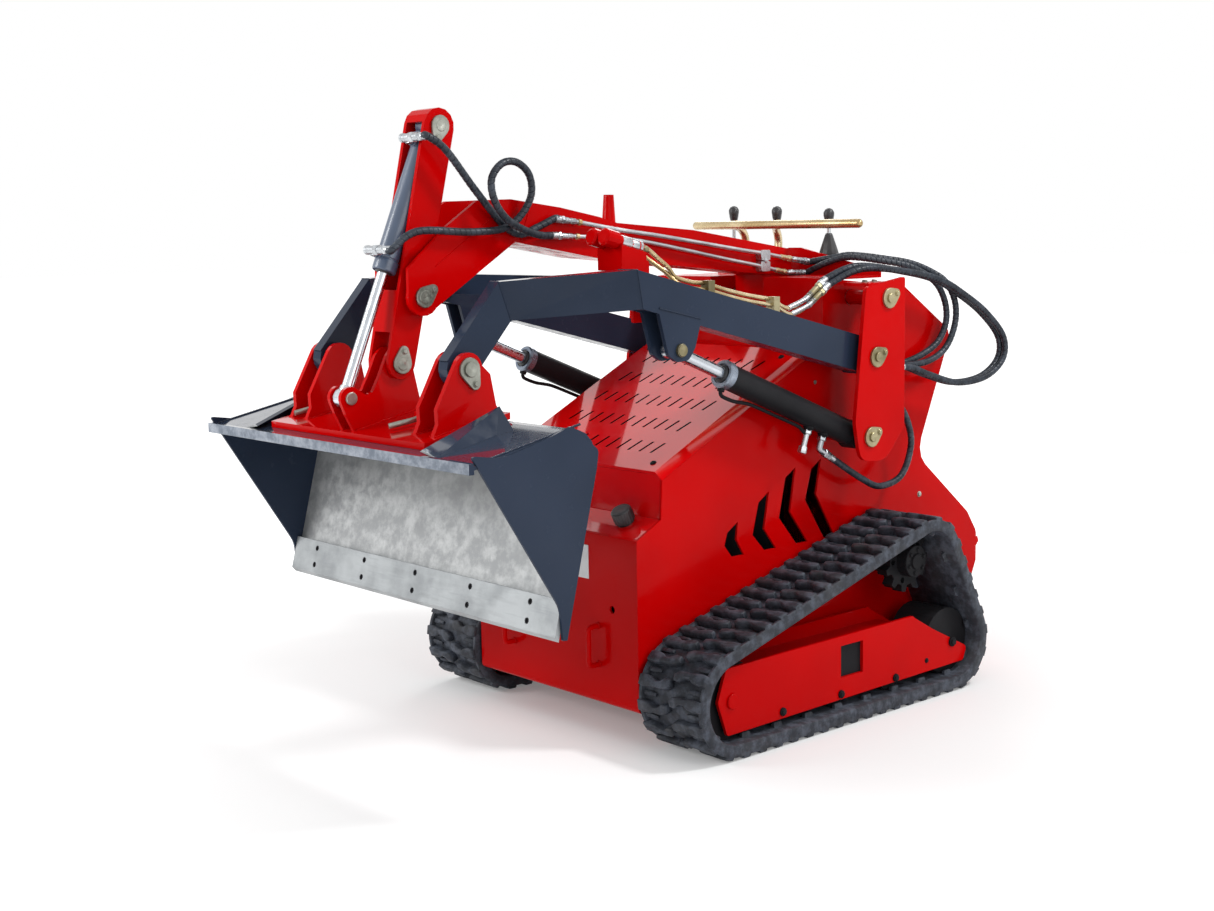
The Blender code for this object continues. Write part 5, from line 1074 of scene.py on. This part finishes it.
def build_bar():
    shape = Shape()
    x0, x1 = BAR_X
    turns = [math.radians(turn) for turn in (12.0, 30.0, 50.0, 70.0, 90.0)]
    dome = [(BAR_R * (1.0 - math.cos(a)), BAR_R * math.sin(a)) for a in turns]
    far = [(x1 - x0 - s, r) for s, r in dome[::-1]]
    shape.lathe(dome + far, (x0, BAR_Y, BAR_Z), ACROSS, 24)
    bend = ((0.0, 0.0, 0.0), (0.5, 0.38, 0.004), (0.85, 0.76, 0.014), (1.0, 1.0, 0.038))
    for joint_x, foot_x in BAR_LEGS:
        run_x, run_y = foot_x - joint_x, LEG_Y - BAR_Y
        leg = [(joint_x + run_x * share, BAR_Y + run_y * back, BAR_Z - drop)
            for share, back, drop in bend]
        leg += [(foot_x, LEG_Y, 1.08), (foot_x, LEG_Y, 1.0016)]
        shape.bar(leg, 0.006, 0.95 * BAR_R, 20)
        joint = [(joint_x + run_x * 0.1, BAR_Y + run_y * 0.1, BAR_Z),
            (joint_x + run_x * 0.16, BAR_Y + run_y * 0.16, BAR_Z)]
        shape.tube(joint, BAR_R * 1.12, 20)
    shape.make("grab_bar", "brass", "zinc", "chassis", ("handle_bar",), 50.0)


def build_levers():
    rods, knobs, boots = Shape(), Shape(), Shape()
    for x, top, boot in LEVERS:
        rods.lathe(((1.0045, 0.005), (top - 0.04, 0.005)), (x, LEVER_Y, 0.0), UP, 16)
        knobs.lathe(((top - 0.046, 0.006), (top - 0.045, 0.008), (top - 0.037, 0.0088),
            (top - 0.028, 0.0118), (top - 0.018, 0.0138), (top - 0.01, 0.0134), (top - 0.004, 0.0098),
            (top - 0.0008, 0.0048), (top, 0.001)), (x, LEVER_Y, 0.0), UP, 28)
        if boot:
            folds = [(1.0048, 0.0262), (1.01, 0.0268), (1.014, 0.0262)]
            for k in range(6):
                z = 1.016 + 0.011 * k
                r = 0.0262 - 0.0007 * k
                folds += [(z, r - 0.002), (z + 0.005, r), (z + 0.007, r)]
            for k in range(5):
                z = 1.083 + 0.01 * k
                r = 0.0222 - 0.003 * k
                folds += [(z, r - 0.001), (z + 0.0045, r), (z + 0.0065, r - 0.0002)]
            boots.lathe(folds + [(1.134, 0.0078)], (x, LEVER_Y, 0.0), UP, 28)
    rods.make("lever_rods", "silver", "black_plastic", "chassis")
    knobs.make("lever_knobs", "black_plastic", "black_plastic", "chassis")
    boots.make("lever_boot", "black_plastic", "black_plastic", "chassis", angle=70.0)


def build_cap():
    shape = Shape()
    rotation = Vector(CAP_UP).to_track_quat("Z", "Y").to_matrix()
    start = Vector(CAP_PLACE)
    rings = []
    for s, r, grip in ((0.006, 0.0228, 0.0), (0.0068, 0.0243, 0.0), (0.008, 0.0246, 0.0008),
            (0.0325, 0.0246, 0.0008), (0.0338, 0.024, 0.0), (0.0368, 0.0212, 0.0), (0.0376, 0.018, 0.0),
            (0.0376, 0.006, 0.0), (0.037, 0.004, 0.0)):
        ring = []
        for k, (cos, sin) in enumerate(spin(96)):
            here = r - (grip if k % 4 in (0, 1) else 0.0)
            ring.append(start + rotation @ Vector((here * cos, here * sin, s)))
        rings.append(ring)
    shape.rings(rings)
    shape.make("cap_grip", "black_plastic", "black_plastic", "chassis")


def build_small_bars():
    for side, points in LOCK_HANDLES:
        route = [(x, y, back_z(y) + BED + rise) for x, y, rise in points]
        shape = Shape().bar(route, 0.003, 0.006)
        shape.make("lock_bar_" + side, "zinc", "zinc", "tool", ("lock_handle_" + side,))
    for x, side in ((0.155, "left"), (-0.155, "right")):
        route = [(x, -0.0003, 0.262), (x, -0.017, 0.262), (x, -0.0275, 0.2585), (x, -0.03, 0.248),
            (x, -0.03, 0.186), (x, -0.0275, 0.1755), (x, -0.017, 0.172), (x, -0.0003, 0.172)]
        shape = Shape().bar(route, 0.003, 0.006)
        steps = spin(18)
        for z in (0.262, 0.172):
            bead(shape, [(x + 0.0066 * cos, -0.0012, z + 0.0066 * sin) for cos, sin in steps + steps[:1]],
                0.002)
        shape.make("tow_bar_" + side, "red_paint", "red_paint", "chassis", ("tow_loop_" + side,), 50.0)


build_hoses()
for side in ("left", "right"):
    build_track(side)
    build_lift_cylinder(side)
build_tilt_cylinder()
build_keepers()
build_bolts()
build_welds()
build_pipes()
build_bar()
build_levers()
build_cap()
build_small_bars()


# Floor, light and camera

def set_stage():
    mesh = bpy.data.meshes.new("floor")
    reach = 40.0
    mesh.from_pydata([(-reach, -reach, 0.0), (reach, -reach, 0.0), (reach, reach, 0.0),
        (-reach, reach, 0.0)], [], [(0, 1, 2, 3)])
    floor = bpy.data.objects.new("floor", mesh)
    bpy.context.scene.collection.objects.link(floor)
    material = bpy.data.materials.new("floor_look")
    material.use_nodes = True
    material.node_tree.nodes.clear()
    look = Nodes(material.node_tree)
    diffuse = look.node("BsdfDiffuse", {"Color": (0.8, 0.8, 0.8, 1.0)})
    place = look.node("TexCoord").outputs["Object"]
    distance = look.node("VectorMath", {0: place}, operation="LENGTH")
    spread = look.remap(distance.outputs["Value"], 0.9, 3.2, 0.16, 0.75)
    glow = look.node("Emission", {"Strength": look.math("MULTIPLY", spread, look.seen_ray())})
    both = look.node("AddShader", {0: diffuse.outputs[0], 1: glow.outputs[0]})
    look.node("OutputMaterial", {"Surface": both.outputs[0]})
    mesh.materials.append(material)


def set_world():
    world = bpy.data.worlds.new("studio")
    bpy.context.scene.world = world
    world.use_nodes = True
    background = world.node_tree.nodes["Background"]
    background.inputs["Color"].default_value = (1.0, 1.0, 1.0, 1.0)
    sky = Nodes(world.node_tree)
    sky.feed(background.inputs["Strength"], sky.remap(sky.seen_ray(), 0.0, 1.0, 0.62, 1.0))


def area_light(name, place, target, size, power):
    light = bpy.data.lights.new(name, "AREA")
    light.shape = "DISK"
    light.size = size
    light.energy = power
    item = bpy.data.objects.new(name, light)
    item.location = place
    item.rotation_euler = (Vector(target) - Vector(place)).to_track_quat("-Z", "Y").to_euler()
    bpy.context.scene.collection.objects.link(item)


def set_camera():
    yaw, pitch, roll = math.radians(48.68), math.radians(-7.96), math.radians(-1.05)
    forward = Vector((-math.sin(yaw) * math.cos(pitch), math.cos(yaw) * math.cos(pitch), math.sin(pitch)))
    right = forward.cross(Vector((0.0, 0.0, 1.0))).normalized()
    up = right.cross(forward)
    turned = math.cos(roll) * right + math.sin(roll) * up
    upright = math.cos(roll) * up - math.sin(roll) * right
    data = bpy.data.cameras.new("camera")
    focal, photo_width, sensor = 1667.0, 1214.0, 36.0
    data.sensor_width = sensor
    data.lens = focal / photo_width * sensor
    item = bpy.data.objects.new("camera", data)
    matrix = Matrix((turned, upright, -forward)).transposed().to_4x4()
    matrix.translation = (2.959, -2.429 - MID_LENGTH, 1.172)
    item.matrix_world = matrix
    bpy.context.scene.collection.objects.link(item)
    bpy.context.scene.camera = item


set_stage()
set_world()
area_light("key", (2.3, 1.7, 3.9), (0.0, -0.2, 0.5), 0.7, 88.0)
area_light("front", (-1.6, -3.4, 2.3), (0.0, -0.2, 0.5), 1.6, 80.0)
area_light("side", (3.4, -0.6, 1.8), (0.0, 0.0, 0.5), 2.6, 26.0)
area_light("rim", (-2.4, 2.6, 2.6), (0.0, 0.0, 0.8), 1.6, 26.0)
set_camera()
bpy.context.scene.view_settings.view_transform = "Standard"
